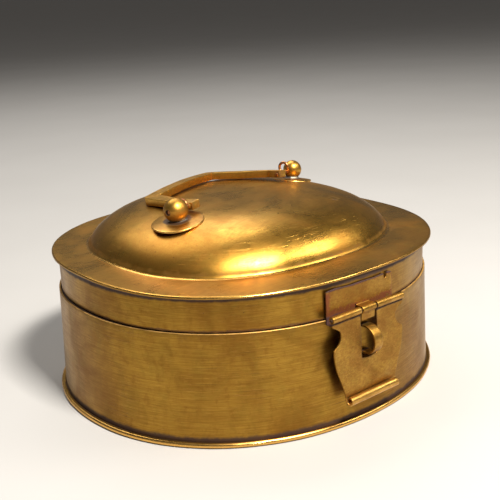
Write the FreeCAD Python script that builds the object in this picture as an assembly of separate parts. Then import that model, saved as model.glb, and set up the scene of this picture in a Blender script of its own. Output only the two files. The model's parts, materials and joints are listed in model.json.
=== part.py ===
import FreeCAD, Part
import math
import os

from FreeCAD import Vector

os.makedirs("parts", exist_ok=True)

# A rounded-square brass tiffin box with a hinged lid, a folding carry handle
# and a hasp. Origin: centre of the underside. +X to the right of a person who
# faces the hasp, -Y the hasp side, +Y the hinge side, +Z up. Millimetres.

# ---- driving dimensions -------------------------------------------------
SHEET = 1.2               # thickness of the main brass sheet
SEAM_Z = 63.0             # top edge of the body
SEAM_GAP = 0.3            # space between the body's edge and the closed lid
FLANGE_Z = 84.5           # top face of the lid's flat flange
HEM = 2.1                 # thickness of the flange's folded edge
HEM_WIDTH = 4.0           # how far the fold reaches inward
HEM_ROUND = 0.8
DOME_RISE = 24.2          # dome apex above the flange
DOME_FULLNESS = 3.9       # higher: flatter on top
DOME_SHOULDER = 0.7       # lower: steeper where it meets the flange
DOME_X = 0.6              # the dome is beaten a little off the lid's middle
DOME_Y = 3.4

# Each outline is a superellipse: half width, half depth, squareness.
FLANGE = (111.6, 106.8, 2.40)
BODY_TOP = (112.8, 107.2, 2.12)
BODY_FOOT = (115.4, 108.1, 2.12)
BEAD = (118.3, 110.3, 2.12)
SKIRT = (110.6, 105.8, 2.15)
DOME = (89.8, 83.0, 2.37)

BEAD_HEIGHT = 3.0
BEAD_ROUND = 1.35

COLLAR_RISE = 6.0         # how far the inner collar stands above the seam
COLLAR_DEPTH = 10.0       # how far it reaches down inside the wall
COLLAR_SHEET = 1.0
COLLAR_PLAY = 0.7         # clear space between collar and lid skirt

# Handle line: turned a little from square to the hasp, as soldered by hand.
HANDLE_SKEW = 14.5
BALL_REACH = 58.8         # from the middle of the lid to each ball
BALL_Z = 112.4
BALL_R_NEAR = 7.1
BALL_R_FAR = 6.1
ROSETTE_R_NEAR = 15.3
ROSETTE_R_FAR = 12.8
ROSETTE_SHEET = 1.1
ROSETTE_CURVE = 100.0     # radius of curvature of each shallow disc
POST_R = 3.6
POST_TILT = 8.5           # each post leans outward with the dome's slope
DISC_DROP = 6.6           # ball centre to the disc's underside
STEM_LENGTH = 11.4
RIVET_R = 6.0             # peened end under the dome
RIVET_SHEET = 1.6
PIVOT_R = 1.25
PIVOT_PLAY = 0.06

ARM_WIDTH = 6.5
GRIP_WIDTH = 8.2
BAR_HEIGHT = 4.6
ARM_END = 44.0            # middle of each arm at the pivot line
ARM_STRAIGHT = 6.0        # length of each arm before it turns inward
ARM_NOSE = 2.4            # arm beyond the pivot line
CORNER_NEAR = (41.5, 42.0)  # outer corner of the grip: from the middle, from the pivots
CORNER_FAR = (33.5, 50.5)
CORNER_CUT = 3.0
GRIP_DROP = 5.2           # degrees by which the folded handle slopes down
HANDLE_BOW = 2.6          # the grip is arched over the dome by this much
LOOP_R = 3.4              # curled end of each pivot wire
LOOP_WIRE_R = 0.8

# Hasp, hung from a hinge at the seam on the -Y side.
HASP_X = -3.9             # the hasp sits a little off the middle
HASP_AXIS_Y = -110.4
HASP_AXIS_Z = 65.0
HASP_ROLL_R = 1.9
HASP_PIN_R = 0.9
HASP_SHEET = 1.2
HASP_HALF = 26.8          # half width over the knuckles
HASP_LENGTH = 47.6        # axis to the middle of the curled lip
HASP_LIP_R = 2.4
HASP_LEAN = 2.2           # the hanging plate stands off the wall at its foot
HASP_LIP_HALF = 17.8
HASP_MID_HALF = 5.8       # half length of the lid plate's knuckle
KNUCKLE_GAP = 0.35
SLOT_BOTTOM = 27.3        # the slot is open at its top, between the knuckles
SLOT_CORNER = 2.0
TAIL_HALF = 5.0           # spare end of the lid plate's strip, hanging in front
TAIL_DROP = 8.0
TAIL_SHEET = 0.9
LEAF_LEFT = 25.0
LEAF_RIGHT = 23.5
LEAF_TOP_Z = 79.4

STAPLE_Z = 47.4
STAPLE_HALF = 8.2         # half height of the loop, outside
STAPLE_REACH = 11.2       # how far it stands off the wall
STAPLE_STRIP = 1.3
STAPLE_WIDTH = 6.0

# Back hinge, with its pin at the seam on the +Y side.
HINGE_HALF = 22.0
HINGE_MID_HALF = 8.0
HINGE_SHEET = 1.2
HINGE_ROLL_R = 2.6
HINGE_PIN_R = 1.2
HINGE_HEAD_R = 2.1
HINGE_AXIS_Y = 111.5
HINGE_BODY_DROP = 20.0
HINGE_LID_RISE = 17.0
RIVET_HEAD_R = 2.2
RIVET_HEAD_RISE = 0.9
RIVET_SPACING = 15.0      # each rivet from the middle of the hinge
BODY_RIVET_DROP = 13.0    # rivets below and above the seam
LID_RIVET_RISE = 11.0

OUTLINE_POINTS = 40
X_AXIS = Vector(1, 0, 0)
Z_AXIS = Vector(0, 0, 1)


# ---- outlines and simple solids -----------------------------------------
def grown(outline, extra):
    half_x, half_y, squareness = outline
    return (half_x + extra, half_y + extra, squareness)


def scaled(outline, factor):
    half_x, half_y, squareness = outline
    return (half_x * factor, half_y * factor, squareness)


def blended(first, second, share):
    return tuple(a + (b - a) * share for a, b in zip(first, second))


def outline_wire(outline, z):
    half_x, half_y, squareness = outline
    power = 2.0 / squareness
    points = []
    for step in range(OUTLINE_POINTS):
        angle = 2.0 * math.pi * (step + 0.5) / OUTLINE_POINTS
        c = math.cos(angle)
        s = math.sin(angle)
        x = half_x * math.copysign(abs(c) ** power, c)
        y = half_y * math.copysign(abs(s) ** power, s)
        points.append(Vector(x, y, z))
    curve = Part.BSplineCurve()
    curve.interpolate(points, PeriodicFlag=True)
    return Part.Wire(curve.toShape())


def slab(outline, z_low, z_high):
    face = Part.Face(outline_wire(outline, z_low))
    return face.extrude(Vector(0, 0, z_high - z_low))


def band(outline, thickness, z_low, z_high):
    return slab(outline, z_low, z_high).cut(slab(grown(outline, -thickness), z_low, z_high))


def tapered(low_outline, high_outline, z_low, z_high):
    wires = [outline_wire(low_outline, z_low), outline_wire(high_outline, z_high)]
    return Part.makeLoft(wires, True, True)


def box(x_low, x_high, y_low, y_high, z_low, z_high):
    size = (x_high - x_low, y_high - y_low, z_high - z_low)
    return Part.makeBox(*size, Vector(x_low, y_low, z_low))


def rod_x(radius, x_low, x_high, y, z):
    return Part.makeCylinder(radius, x_high - x_low, Vector(x_low, y, z), X_AXIS)


def polygon_plate(points, thickness):
    wire = Part.makePolygon(points + [points[0]])
    return Part.Face(wire).extrude(thickness)


def on_handle_line(shape):
    shape.rotate(Vector(0, 0, 0), Z_AXIS, HANDLE_SKEW)
    return shape


# ---- body ---------------------------------------------------------------
def body_outline(z):
    return blended(BODY_FOOT, BODY_TOP, z / SEAM_Z)


def body_core(extra, z_low, z_high):
    low = grown(body_outline(z_low), extra)
    high = grown(body_outline(z_high), extra)
    return tapered(low, high, z_low, z_high)


def make_base_plate():
    plate = slab(BEAD, 0.0, BEAD_HEIGHT)
    rims = [e for e in plate.Edges if e.BoundBox.ZLength < 0.01]
    plate = plate.makeFillet(BEAD_ROUND, rims)
    return plate.cut(body_core(0.0, SHEET, SEAM_Z))


def make_body_wall():
    return body_core(0.0, SHEET, SEAM_Z).cut(body_core(-SHEET, SHEET, SEAM_Z))


def make_neck_collar():
    # An offset ring: the low band is soldered inside the wall, the high band
    # stands inside the lid's skirt and keeps the closed lid in place.
    inside = grown(body_outline(SEAM_Z), -SHEET - 0.2)
    step_in = grown(SKIRT, -SHEET - COLLAR_PLAY)
    low = band(inside, COLLAR_SHEET, SEAM_Z - COLLAR_DEPTH, SEAM_Z - COLLAR_SHEET)
    ledge = slab(inside, SEAM_Z - COLLAR_SHEET, SEAM_Z)
    ledge = ledge.cut(slab(grown(step_in, -COLLAR_SHEET), SEAM_Z - COLLAR_SHEET, SEAM_Z))
    high = band(step_in, COLLAR_SHEET, SEAM_Z, SEAM_Z + COLLAR_RISE)
    return low.fuse([ledge, high])


# ---- lid ----------------------------------------------------------------
def dome_height(share):
    # Height above the flange at a share of the way from the axis to the rim.
    return DOME_RISE * (1.0 - share ** DOME_FULLNESS) ** DOME_SHOULDER


def on_dome_axis(shape):
    shape.translate(Vector(DOME_X, DOME_Y, 0))
    return shape


def dome_solid(extra):
    shares = [1.0, 0.985, 0.95, 0.88, 0.78, 0.65, 0.5, 0.34, 0.18, 0.05]
    rim = grown(DOME, extra)
    wires = []
    for share in shares:
        z = FLANGE_Z + extra + dome_height(share)
        wires.append(outline_wire(scaled(rim, share), z))
    return on_dome_axis(Part.makeLoft(wires, True, False))


def make_lid_dome():
    # The dome's foot rests on the inner edge of the flange.
    dome = dome_solid(0.0).cut(dome_solid(-SHEET))
    return dome.cut([make_stem(-1), make_stem(1)])


def make_lid_flange():
    # A flat ring whose outer edge is folded under into a hem.
    under = FLANGE_Z - SHEET
    hem_low = FLANGE_Z - HEM
    flange = slab(FLANGE, under, FLANGE_Z)
    hem = band(FLANGE, HEM_WIDTH, hem_low, under)
    plate = flange.fuse(hem).removeSplitter()
    outer = [e for e in plate.Edges if abs(e.BoundBox.XMax - FLANGE[0]) < 0.2 and e.BoundBox.ZLength < 0.01]
    plate = plate.makeFillet(HEM_ROUND, outer)
    plate = plate.cut(slab(SKIRT, hem_low - 1.0, under))
    return plate.cut(on_dome_axis(slab(grown(DOME, -SHEET), hem_low, FLANGE_Z)))


def make_lid_skirt():
    return band(SKIRT, SHEET, SEAM_Z + SEAM_GAP, FLANGE_Z - SHEET)


# ---- handle posts -------------------------------------------------------
def post_radii(side):
    if side < 0:
        return BALL_R_NEAR, ROSETTE_R_NEAR
    return BALL_R_FAR, ROSETTE_R_FAR


def on_post(shape, side):
    # From a post's own frame (ball centre, axis up) to its place on the dome.
    shape.rotate(Vector(0, 0, 0), Vector(0, 1, 0), side * POST_TILT)
    shape.translate(Vector(side * BALL_REACH, 0, BALL_Z))
    return on_handle_line(shape)


def post_tube(outer_r, length):
    foot = Vector(0, 0, -length)
    tube = Part.makeCylinder(outer_r, length, foot)
    return tube.cut(Part.makeCylinder(POST_R, length, foot))


def make_stem(side):
    stem = Part.makeCylinder(POST_R, STEM_LENGTH, Vector(0, 0, -STEM_LENGTH))
    return on_post(stem, side)


def make_rosette(side):
    # A shallow disc that touches the dome round the post; its rim stands free
    # where the dome falls away.
    rosette_r = post_radii(side)[1]
    centre = Vector(0, 0, -DISC_DROP - ROSETTE_CURVE)
    cap = Part.makeSphere(ROSETTE_CURVE + ROSETTE_SHEET, centre)
    cap = cap.cut(Part.makeSphere(ROSETTE_CURVE, centre))
    disc = on_post(cap.common(post_tube(rosette_r, 20.0)), side)
    return disc.cut(dome_solid(0.0))


def make_post(side):
    ball_r = post_radii(side)[0]
    ball = on_post(Part.makeSphere(ball_r), side)
    post = ball.fuse(make_stem(side)).cut(make_rosette(side))
    return post.cut(on_handle_line(pivot_rod(side)))


def make_rivet(side):
    ring = on_post(post_tube(RIVET_R, 30.0), side)
    return dome_solid(-SHEET).common(ring).cut(dome_solid(-SHEET - RIVET_SHEET))


def pivot_rod(side):
    ball_r = post_radii(side)[0]
    inner = ARM_END - ARM_WIDTH / 2.0 - 1.0
    outer = BALL_REACH + ball_r - 0.4
    low, high = sorted((side * inner, side * outer))
    return rod_x(PIVOT_R, low, high, 0.0, BALL_Z)


def make_pivot_wire(side):
    # A wire through the ball and the arm, with its spare end curled over
    # between the two. The far curl stands up, the near one lies back.
    rod = pivot_rod(side)
    loop_u = side * (ARM_END + ARM_WIDTH / 2.0 + 1.4)
    if side > 0:
        centre = Vector(loop_u, 0, BALL_Z + LOOP_R)
    else:
        centre = Vector(loop_u, LOOP_R, BALL_Z)
    loop = Part.makeTorus(LOOP_R, LOOP_WIRE_R, centre, X_AXIS)
    return on_handle_line(rod.fuse(loop))


# ---- handle -------------------------------------------------------------
def arm_edges(side, corner):
    # The outer and the inner edge of one arm, from its pivot end to the grip.
    reach, back = corner
    half = ARM_WIDTH / 2.0
    outer = [
        (ARM_END + half, -ARM_NOSE),
        (ARM_END + half, ARM_STRAIGHT),
        (reach, back - CORNER_CUT),
        (reach - CORNER_CUT, back),
    ]
    inner = [
        (reach - ARM_WIDTH - 1.0, back - GRIP_WIDTH),
        (ARM_END - half, ARM_STRAIGHT),
        (ARM_END - half, -ARM_NOSE),
    ]
    return [[Vector(side * u, v, 0) for u, v in edge] for edge in (outer, inner)]


def arched_shell():
    # The space between two cylinders along the arms: it arches the whole bail.
    radius = ARM_END ** 2 / (2.0 * HANDLE_BOW)
    length = 2.0 * ARM_END
    foot = Vector(0, -ARM_END / 2.0, HANDLE_BOW - radius)
    along = Vector(0, 1, 0)
    outer = Part.makeCylinder(radius + BAR_HEIGHT / 2.0, length, foot, along)
    inner = Part.makeCylinder(radius - BAR_HEIGHT / 2.0, length, foot, along)
    return outer.cut(inner)


def make_handle():
    far_outer, far_inner = arm_edges(1, CORNER_FAR)
    near_outer, near_inner = arm_edges(-1, CORNER_NEAR)
    profile = far_outer + near_outer[::-1] + near_inner[::-1] + far_inner
    tall = 4.0 * BAR_HEIGHT
    bail = polygon_plate(profile, Vector(0, 0, tall))
    bail.translate(Vector(0, 0, -tall / 2.0))
    bail = bail.common(arched_shell())
    half = ARM_WIDTH / 2.0
    for side in (-1, 1):
        low, high = sorted((side * (ARM_END - half - 1.0), side * (ARM_END + half + 1.0)))
        bail = bail.cut(rod_x(PIVOT_R + PIVOT_PLAY, low, high, 0.0, 0.0))
    bail.rotate(Vector(0, 0, 0), X_AXIS, -GRIP_DROP)
    bail.translate(Vector(0, 0, BALL_Z))
    return on_handle_line(bail)


# ---- hasp ---------------------------------------------------------------
def in_hasp_place(shape):
    shape.translate(Vector(HASP_X, 0, 0))
    return shape


def make_hasp_leaf():
    # A plate on the lid's skirt that follows the curve of the wall. A strip
    # from it rolls over the pin and its spare end hangs in front.
    z_low = SEAM_Z + 2.0 * SEAM_GAP
    plate = band(grown(SKIRT, HASP_SHEET), HASP_SHEET, z_low, LEAF_TOP_Z)
    plate = plate.common(box(HASP_X - LEAF_LEFT, HASP_X + LEAF_RIGHT, -BEAD[1], 0, z_low, LEAF_TOP_Z))
    half = HASP_MID_HALF - KNUCKLE_GAP
    web_z = HASP_AXIS_Z + HASP_ROLL_R - HASP_SHEET
    front = HASP_AXIS_Y - HASP_ROLL_R
    roll = rod_x(HASP_ROLL_R, -half, half, HASP_AXIS_Y, HASP_AXIS_Z)
    web = box(-half, half, HASP_AXIS_Y, -SKIRT[1], web_z, web_z + HASP_SHEET)
    tail = box(-TAIL_HALF, TAIL_HALF, front, front + TAIL_SHEET, HASP_AXIS_Z - TAIL_DROP, HASP_AXIS_Z)
    bore = rod_x(HASP_PIN_R, -half, half, HASP_AXIS_Y, HASP_AXIS_Z)
    knuckle = in_hasp_place(roll.fuse([web, tail]).cut(bore))
    return plate.fuse(knuckle).cut(slab(SKIRT, SEAM_Z, FLANGE_Z))


def make_hasp_pin():
    half = HASP_HALF + 0.6
    return in_hasp_place(rod_x(HASP_PIN_R, -half, half, HASP_AXIS_Y, HASP_AXIS_Z))


def hasp_outline():
    # One side of the plate, as (half width, distance below the hinge axis).
    ear = [(HASP_HALF, 0.0), (HASP_HALF - 0.8, 3.6), (23.6, 5.6)]
    notch = [(21.0, 8.0), (20.8, 11.2), (22.6, 14.4), (26.0, 17.0)]
    taper = [(25.9, 22.0), (24.6, 29.0), (22.0, 36.0), (19.9, 42.5), (19.0, HASP_LENGTH)]
    return ear + notch + taper


def make_hasp():
    y_front = HASP_AXIS_Y - HASP_SHEET / 2.0
    side = hasp_outline()
    edge = [Vector(w, y_front, HASP_AXIS_Z - d) for w, d in side]
    mirrored = [Vector(-w, y_front, HASP_AXIS_Z - d) for w, d in reversed(side)]
    plate = polygon_plate(edge + mirrored, Vector(0, HASP_SHEET, 0))
    clear_half = HASP_MID_HALF + KNUCKLE_GAP
    slot_low = HASP_AXIS_Z - SLOT_BOTTOM
    slot_y = HASP_AXIS_Y - 2.0 * HASP_SHEET
    slot = box(-clear_half, clear_half, slot_y, HASP_AXIS_Y + 2.0 * HASP_SHEET, slot_low, HASP_AXIS_Z + HASP_SHEET)
    corners = [e for e in slot.Edges if e.BoundBox.YLength > HASP_SHEET and e.BoundBox.ZMax < slot_low + 1.0]
    plate = plate.cut(slot.makeFillet(SLOT_CORNER, corners))
    for low, high in ((-HASP_HALF, -clear_half), (clear_half, HASP_HALF)):
        plate = plate.fuse(rod_x(HASP_ROLL_R, low, high, HASP_AXIS_Y, HASP_AXIS_Z))
    lip_y = y_front + HASP_SHEET - HASP_LIP_R
    lip_z = HASP_AXIS_Z - HASP_LENGTH
    lip = rod_x(HASP_LIP_R, -HASP_LIP_HALF, HASP_LIP_HALF, lip_y, lip_z)
    lip_bore = rod_x(HASP_LIP_R - HASP_SHEET, -HASP_LIP_HALF, HASP_LIP_HALF, lip_y, lip_z)
    plate = plate.fuse(lip).cut(lip_bore)
    plate = plate.cut(rod_x(HASP_PIN_R + PIVOT_PLAY, -HASP_HALF, HASP_HALF, HASP_AXIS_Y, HASP_AXIS_Z))
    plate.rotate(Vector(0, HASP_AXIS_Y, HASP_AXIS_Z), X_AXIS, -HASP_LEAN)
    return in_hasp_place(plate)


def make_staple():
    # A strip bent into a half loop, with a foot above and one below.
    wall = -body_outline(STAPLE_Z)[1]
    centre_y = wall - (STAPLE_REACH - STAPLE_HALF)
    half = STAPLE_WIDTH / 2.0
    outer = rod_x(STAPLE_HALF, -half, half, centre_y, STAPLE_Z)
    arms = box(-half, half, centre_y, wall + 1.0, STAPLE_Z - STAPLE_HALF, STAPLE_Z + STAPLE_HALF)
    inner_r = STAPLE_HALF - STAPLE_STRIP
    inner = rod_x(inner_r, -half, half, centre_y, STAPLE_Z)
    gap = box(-half, half, centre_y, wall + 1.0, STAPLE_Z - inner_r, STAPLE_Z + inner_r)
    loop = outer.fuse(arms).cut(inner.fuse(gap))
    return in_hasp_place(loop).cut(body_core(0.0, SHEET, SEAM_Z))


# ---- back hinge ---------------------------------------------------------
def hinge_knuckle(low, high):
    return rod_x(HINGE_ROLL_R, low, high, HINGE_AXIS_Y, SEAM_Z)


def make_hinge_body_leaf():
    z_low = SEAM_Z - HINGE_BODY_DROP
    z_high = SEAM_Z - 0.4
    leaf = body_core(HINGE_SHEET, z_low, z_high)
    leaf = leaf.common(box(-HINGE_HALF, HINGE_HALF, 0, BEAD[1], z_low, z_high))
    leaf = leaf.cut(body_core(0.0, SHEET, SEAM_Z))
    clear_half = HINGE_MID_HALF + KNUCKLE_GAP
    wall = body_outline(SEAM_Z)[1]
    for low, high in ((-HINGE_HALF, -clear_half), (clear_half, HINGE_HALF)):
        web = box(low, high, wall + 0.3, HINGE_AXIS_Y, z_high - HINGE_SHEET, z_high - 0.1)
        leaf = leaf.fuse([web, hinge_knuckle(low, high)])
    return leaf.cut(rod_x(HINGE_PIN_R, -HINGE_HALF, HINGE_HALF, HINGE_AXIS_Y, SEAM_Z))


def make_hinge_lid_leaf():
    z_low = SEAM_Z + 0.7
    z_high = SEAM_Z + HINGE_LID_RISE
    leaf = band(grown(SKIRT, HINGE_SHEET), HINGE_SHEET, z_low, z_high)
    leaf = leaf.common(box(-HINGE_HALF, HINGE_HALF, 0, BEAD[1], z_low, z_high))
    half = HINGE_MID_HALF
    web = box(-half, half, SKIRT[1] - 0.5, HINGE_AXIS_Y, z_low, z_low + HINGE_SHEET)
    leaf = leaf.fuse([web, hinge_knuckle(-half, half)])
    leaf = leaf.cut(slab(SKIRT, SEAM_Z, FLANGE_Z))
    return leaf.cut(rod_x(HINGE_PIN_R + PIVOT_PLAY, -half, half, HINGE_AXIS_Y, SEAM_Z))


def make_hinge_pin():
    reach = HINGE_HALF + 1.0
    pin = rod_x(HINGE_PIN_R, -reach, reach, HINGE_AXIS_Y, SEAM_Z)
    for low in (-reach, HINGE_HALF):
        pin = pin.fuse(rod_x(HINGE_HEAD_R, low, low + 1.0, HINGE_AXIS_Y, SEAM_Z))
    return pin


def rivet_heads(positions, wall_y, outward):
    heads = []
    for x, z in positions:
        start = Vector(x, wall_y(x, z) - outward * 0.3, z)
        head = Part.makeCylinder(RIVET_HEAD_R, RIVET_HEAD_RISE + 0.3, start, Vector(0, outward, 0))
        rim = [e for e in head.Edges if abs(e.BoundBox.YLength) < 0.01]
        tip = max(rim, key=lambda e: outward * e.BoundBox.Center.y)
        heads.append(head.makeFillet(0.6, [tip]))
    return heads


def outline_y(outline, x):
    half_x, half_y, squareness = outline
    return half_y * (1.0 - (abs(x) / half_x) ** squareness) ** (1.0 / squareness)


def make_hinge_rivets(z, on_lid):
    def surface(x, height):
        if on_lid:
            return outline_y(grown(SKIRT, HINGE_SHEET), x)
        return outline_y(grown(body_outline(height), HINGE_SHEET), x)
    heads = rivet_heads([(-RIVET_SPACING, z), (RIVET_SPACING, z)], surface, 1.0)
    if on_lid:
        leaf = slab(grown(SKIRT, HINGE_SHEET), SEAM_Z, FLANGE_Z)
    else:
        leaf = body_core(HINGE_SHEET, SHEET, SEAM_Z)
    return Part.makeCompound([head.cut(leaf) for head in heads])


# ---- write every node ---------------------------------------------------
def save(name, shape):
    if not shape.isValid():
        shape.fix(0.01, 0.01, 0.01)
    box_size = shape.BoundBox
    print(name, len(shape.Solids), "valid", shape.isValid(),
          "size %.1f %.1f %.1f" % (box_size.XLength, box_size.YLength, box_size.ZLength))
    shape.exportStep("parts/" + name + ".step")


save("base_plate", make_base_plate())
save("body_wall", make_body_wall())
save("neck_collar", make_neck_collar())
save("staple", make_staple())
save("hinge_body_leaf", make_hinge_body_leaf())
save("hinge_pin", make_hinge_pin())
save("hinge_body_rivets", make_hinge_rivets(SEAM_Z - BODY_RIVET_DROP, False))
save("lid_flange", make_lid_flange())
save("lid_dome", make_lid_dome())
save("lid_skirt", make_lid_skirt())
save("hinge_lid_leaf", make_hinge_lid_leaf())
save("hinge_lid_rivets", make_hinge_rivets(SEAM_Z + LID_RIVET_RISE, True))
save("hasp_leaf", make_hasp_leaf())
save("hasp_pin", make_hasp_pin())
save("hasp_plate", make_hasp())
for label, side in (("near", -1), ("far", 1)):
    save("rosette_" + label, make_rosette(side))
    save("post_" + label, make_post(side))
    save("post_rivet_" + label, make_rivet(side))
    save("pivot_wire_" + label, make_pivot_wire(side))
save("handle_bail", make_handle())
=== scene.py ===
import json
import math

import bmesh
import bpy
from mathutils import Matrix, Vector, noise


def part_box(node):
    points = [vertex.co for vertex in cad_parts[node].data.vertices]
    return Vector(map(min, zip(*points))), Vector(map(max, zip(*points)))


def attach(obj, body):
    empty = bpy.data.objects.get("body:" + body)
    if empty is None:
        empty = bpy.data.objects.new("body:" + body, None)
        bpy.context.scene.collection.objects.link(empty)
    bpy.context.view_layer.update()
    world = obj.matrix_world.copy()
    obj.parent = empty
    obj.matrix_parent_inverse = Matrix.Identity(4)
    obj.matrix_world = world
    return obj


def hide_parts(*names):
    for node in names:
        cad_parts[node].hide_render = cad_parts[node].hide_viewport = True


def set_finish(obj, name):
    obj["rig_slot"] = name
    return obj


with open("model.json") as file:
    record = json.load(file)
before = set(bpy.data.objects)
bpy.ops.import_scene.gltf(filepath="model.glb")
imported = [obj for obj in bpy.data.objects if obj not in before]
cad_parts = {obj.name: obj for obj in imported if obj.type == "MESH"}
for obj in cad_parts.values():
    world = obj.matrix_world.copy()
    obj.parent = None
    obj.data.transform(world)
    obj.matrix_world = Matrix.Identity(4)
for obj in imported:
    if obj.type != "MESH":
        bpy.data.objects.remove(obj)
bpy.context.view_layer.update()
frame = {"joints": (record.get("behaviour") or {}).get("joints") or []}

# A rounded-square brass tiffin box with a domed hinged lid, a folding handle
# on ball posts and a hasp over a staple. Metres, in the frame of the packed
# model: +Z up, -Y the hasp side, +X to the right of a person facing the hasp.

MM = 0.001

# ---- sizes read from the frame -------------------------------------------
wall_low, wall_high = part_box("body_wall")
base_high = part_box("base_plate")[1]
collar_low, collar_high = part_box("neck_collar")
skirt_low, skirt_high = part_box("lid_skirt")
flange_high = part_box("lid_flange")[1]
dome_low, dome_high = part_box("lid_dome")
leaf_low, leaf_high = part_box("hasp_leaf")
hasp_low, hasp_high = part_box("hasp_plate")
hasp_pin_low, hasp_pin_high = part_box("hasp_pin")
staple_low, staple_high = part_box("staple")
back_pin_low, back_pin_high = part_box("hinge_pin")
back_low, back_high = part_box("hinge_body_leaf")
upper_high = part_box("hinge_lid_leaf")[1]
JOINTS = {joint["name"]: joint for joint in frame["joints"]}
BALL_Z = JOINTS["handle_fold"]["pos_m"][2]
HANDLE_LINE = Vector(JOINTS["handle_fold"]["axis"])
SEAM_Z = wall_high.z
HASP_X, HASP_AXIS_Y, HASP_AXIS_Z = JOINTS["hasp_swing"]["pos_m"]
HINGE_AXIS_Y = JOINTS["lid_hinge"]["pos_m"][1]

# ---- sizes of the sheet work ----------------------------------------------
SHEET = 1.2 * MM
HEM = 2.1 * MM
FLANGE_Z = flange_high.z
DOME_RISE = dome_high.z - FLANGE_Z
DOME_FULLNESS = 3.9       # how far the dome's top stays level
DOME_SHOULDER = 0.7       # how quickly its side drops
DOME_MIDDLE = (dome_low + dome_high) / 2.0

# Each outline is a superellipse: half width, half depth, squareness.
BODY_FOOT = (wall_high.x, wall_high.y, 2.12)
BODY_TOP = (wall_high.x - 2.6 * MM, wall_high.y - 0.9 * MM, 2.12)
BEAD = (base_high.x, base_high.y, 2.12)
SKIRT = (skirt_high.x, skirt_high.y, 2.15)
FLANGE = (flange_high.x, flange_high.y, 2.40)
DOME = (dome_high.x - DOME_MIDDLE.x, dome_high.y - DOME_MIDDLE.y, 2.37)
CENTRE = (0.0, 0.0, 2.0)

DOME_MARK = (40 * MM, -42 * MM)   # a small dark ring on the dome's right side

BEAD_ROUND = 1.35 * MM
EDGE_ROUND = 0.35 * MM
COLLAR_SHEET = 1.0 * MM
RING_STEPS = 288

BALL_REACH = 58.8 * MM
POST_TILT = math.radians(8.5)
NEAR, FAR = -1, 1
BALL_R = {NEAR: 7.1 * MM, FAR: 6.1 * MM}
ROSETTE_R = {NEAR: 15.3 * MM, FAR: 12.8 * MM}
LABEL = {NEAR: "near", FAR: "far"}
DISC_DROP = 6.6 * MM
DISC_SHEET = 1.1 * MM
DISC_CURVE = 100.0 * MM

STEM_R = 3.5 * MM
STEM_LENGTH = 11.3 * MM
PEENED_R = 6.0 * MM
SOLDER_R = 3.3 * MM       # radius at the top of the solder

ARM_MIDDLE = 44.0 * MM    # middle of each arm at the pivot line
ARM_HALF = 3.25 * MM
ARM_NOSE = 2.4 * MM
GRIP_WIDTH = 8.2 * MM
BAR_HEIGHT = 4.6 * MM
HANDLE_SLOPE = math.radians(5.2)
HANDLE_ARCH = 2.6 * MM
GRIP_CORNER = {NEAR: (41.5 * MM, 42.0 * MM), FAR: (33.5 * MM, 50.5 * MM)}

PIVOT_R = 1.2 * MM
BALL_BORE_R = 1.45 * MM
ARM_BORE_R = 1.42 * MM
CURL_R = 3.3 * MM
CURL_WIRE_R = 0.85 * MM

HASP_SHEET = 1.0 * MM
HASP_ROLL = 1.45 * MM     # middle of the rolled sheet to the pin's centre
HASP_LIP = 1.9 * MM
HASP_CLEAR = 6.15 * MM    # half width of the slot that is open between the knuckles
HASP_HALF = (hasp_high.x - hasp_low.x) / 2.0
HASP_LENGTH = 47.6 * MM   # from the pin to the start of the curled lip
HASP_LIP_HALF = 17.8 * MM
HASP_LEAN = math.radians(2.2)
SLOT_DEPTH = 27.3 * MM
SLOT_CORNER = 1.6 * MM
LEAF_BEND = 0.9 * MM
TONGUE_HALF = 5.0 * MM
TONGUE_TAIL = 3.8 * MM
TONGUE_SLIT = 0.5 * MM
STAPLE_STRIP = 1.2 * MM

BACK_SHEET = 1.1 * MM
BACK_ROLL = 1.95 * MM
BACK_BEND = 0.9 * MM
BACK_KNUCKLE = 8.0 * MM
KNUCKLE_GAP = 0.35 * MM
RIVET_RISE = 1.0 * MM

SHARP = math.radians(42.0)
SHARP_AFTER_CUT = math.radians(35.0)

# ---- camera -------------------------------------------------------------------
CAMERA_TURN = math.radians(-38.47)
CAMERA_RISE = math.radians(17.14)
CAMERA_ROLL = math.radians(-2.81)
CAMERA_DISTANCE = 568.6 * MM
CAMERA_ACROSS = 1.48 * MM
CAMERA_UP = 69.49 * MM
CAMERA_LENS = 63.24


# ---- outlines and rings -----------------------------------------------------
def grown(outline, extra):
    half_x, half_y, squareness = outline
    return (half_x + extra, half_y + extra, squareness)


def scaled(outline, factor):
    half_x, half_y, squareness = outline
    return (half_x * factor, half_y * factor, squareness)


def blended(first, second, share):
    return tuple(a + (b - a) * share for a, b in zip(first, second))


def outline_point(outline, angle):
    half_x, half_y, squareness = outline
    power = 2.0 / squareness
    c = math.cos(angle)
    s = math.sin(angle)
    x = half_x * math.copysign(abs(c) ** power, c)
    y = half_y * math.copysign(abs(s) ** power, s)
    return x, y


def outline_y(outline, x):
    half_x, half_y, squareness = outline
    return half_y * (1.0 - (abs(x) / half_x) ** squareness) ** (1.0 / squareness)


def outline_share(outline, x, y):
    """0 at the axis and 1 on the outline."""
    half_x, half_y, squareness = outline
    reach = (abs(x) / half_x) ** squareness + (abs(y) / half_y) ** squareness
    return reach ** (1.0 / squareness)


def body_outline(z):
    return blended(BODY_FOOT, BODY_TOP, z / SEAM_Z)


def ring_between(first, second, share):
    outline = blended(first[0], second[0], share)
    return outline, first[1] + (second[1] - first[1]) * share


def ring_gap(first, second):
    return math.hypot(first[0][0] - second[0][0], first[1] - second[1])


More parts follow.
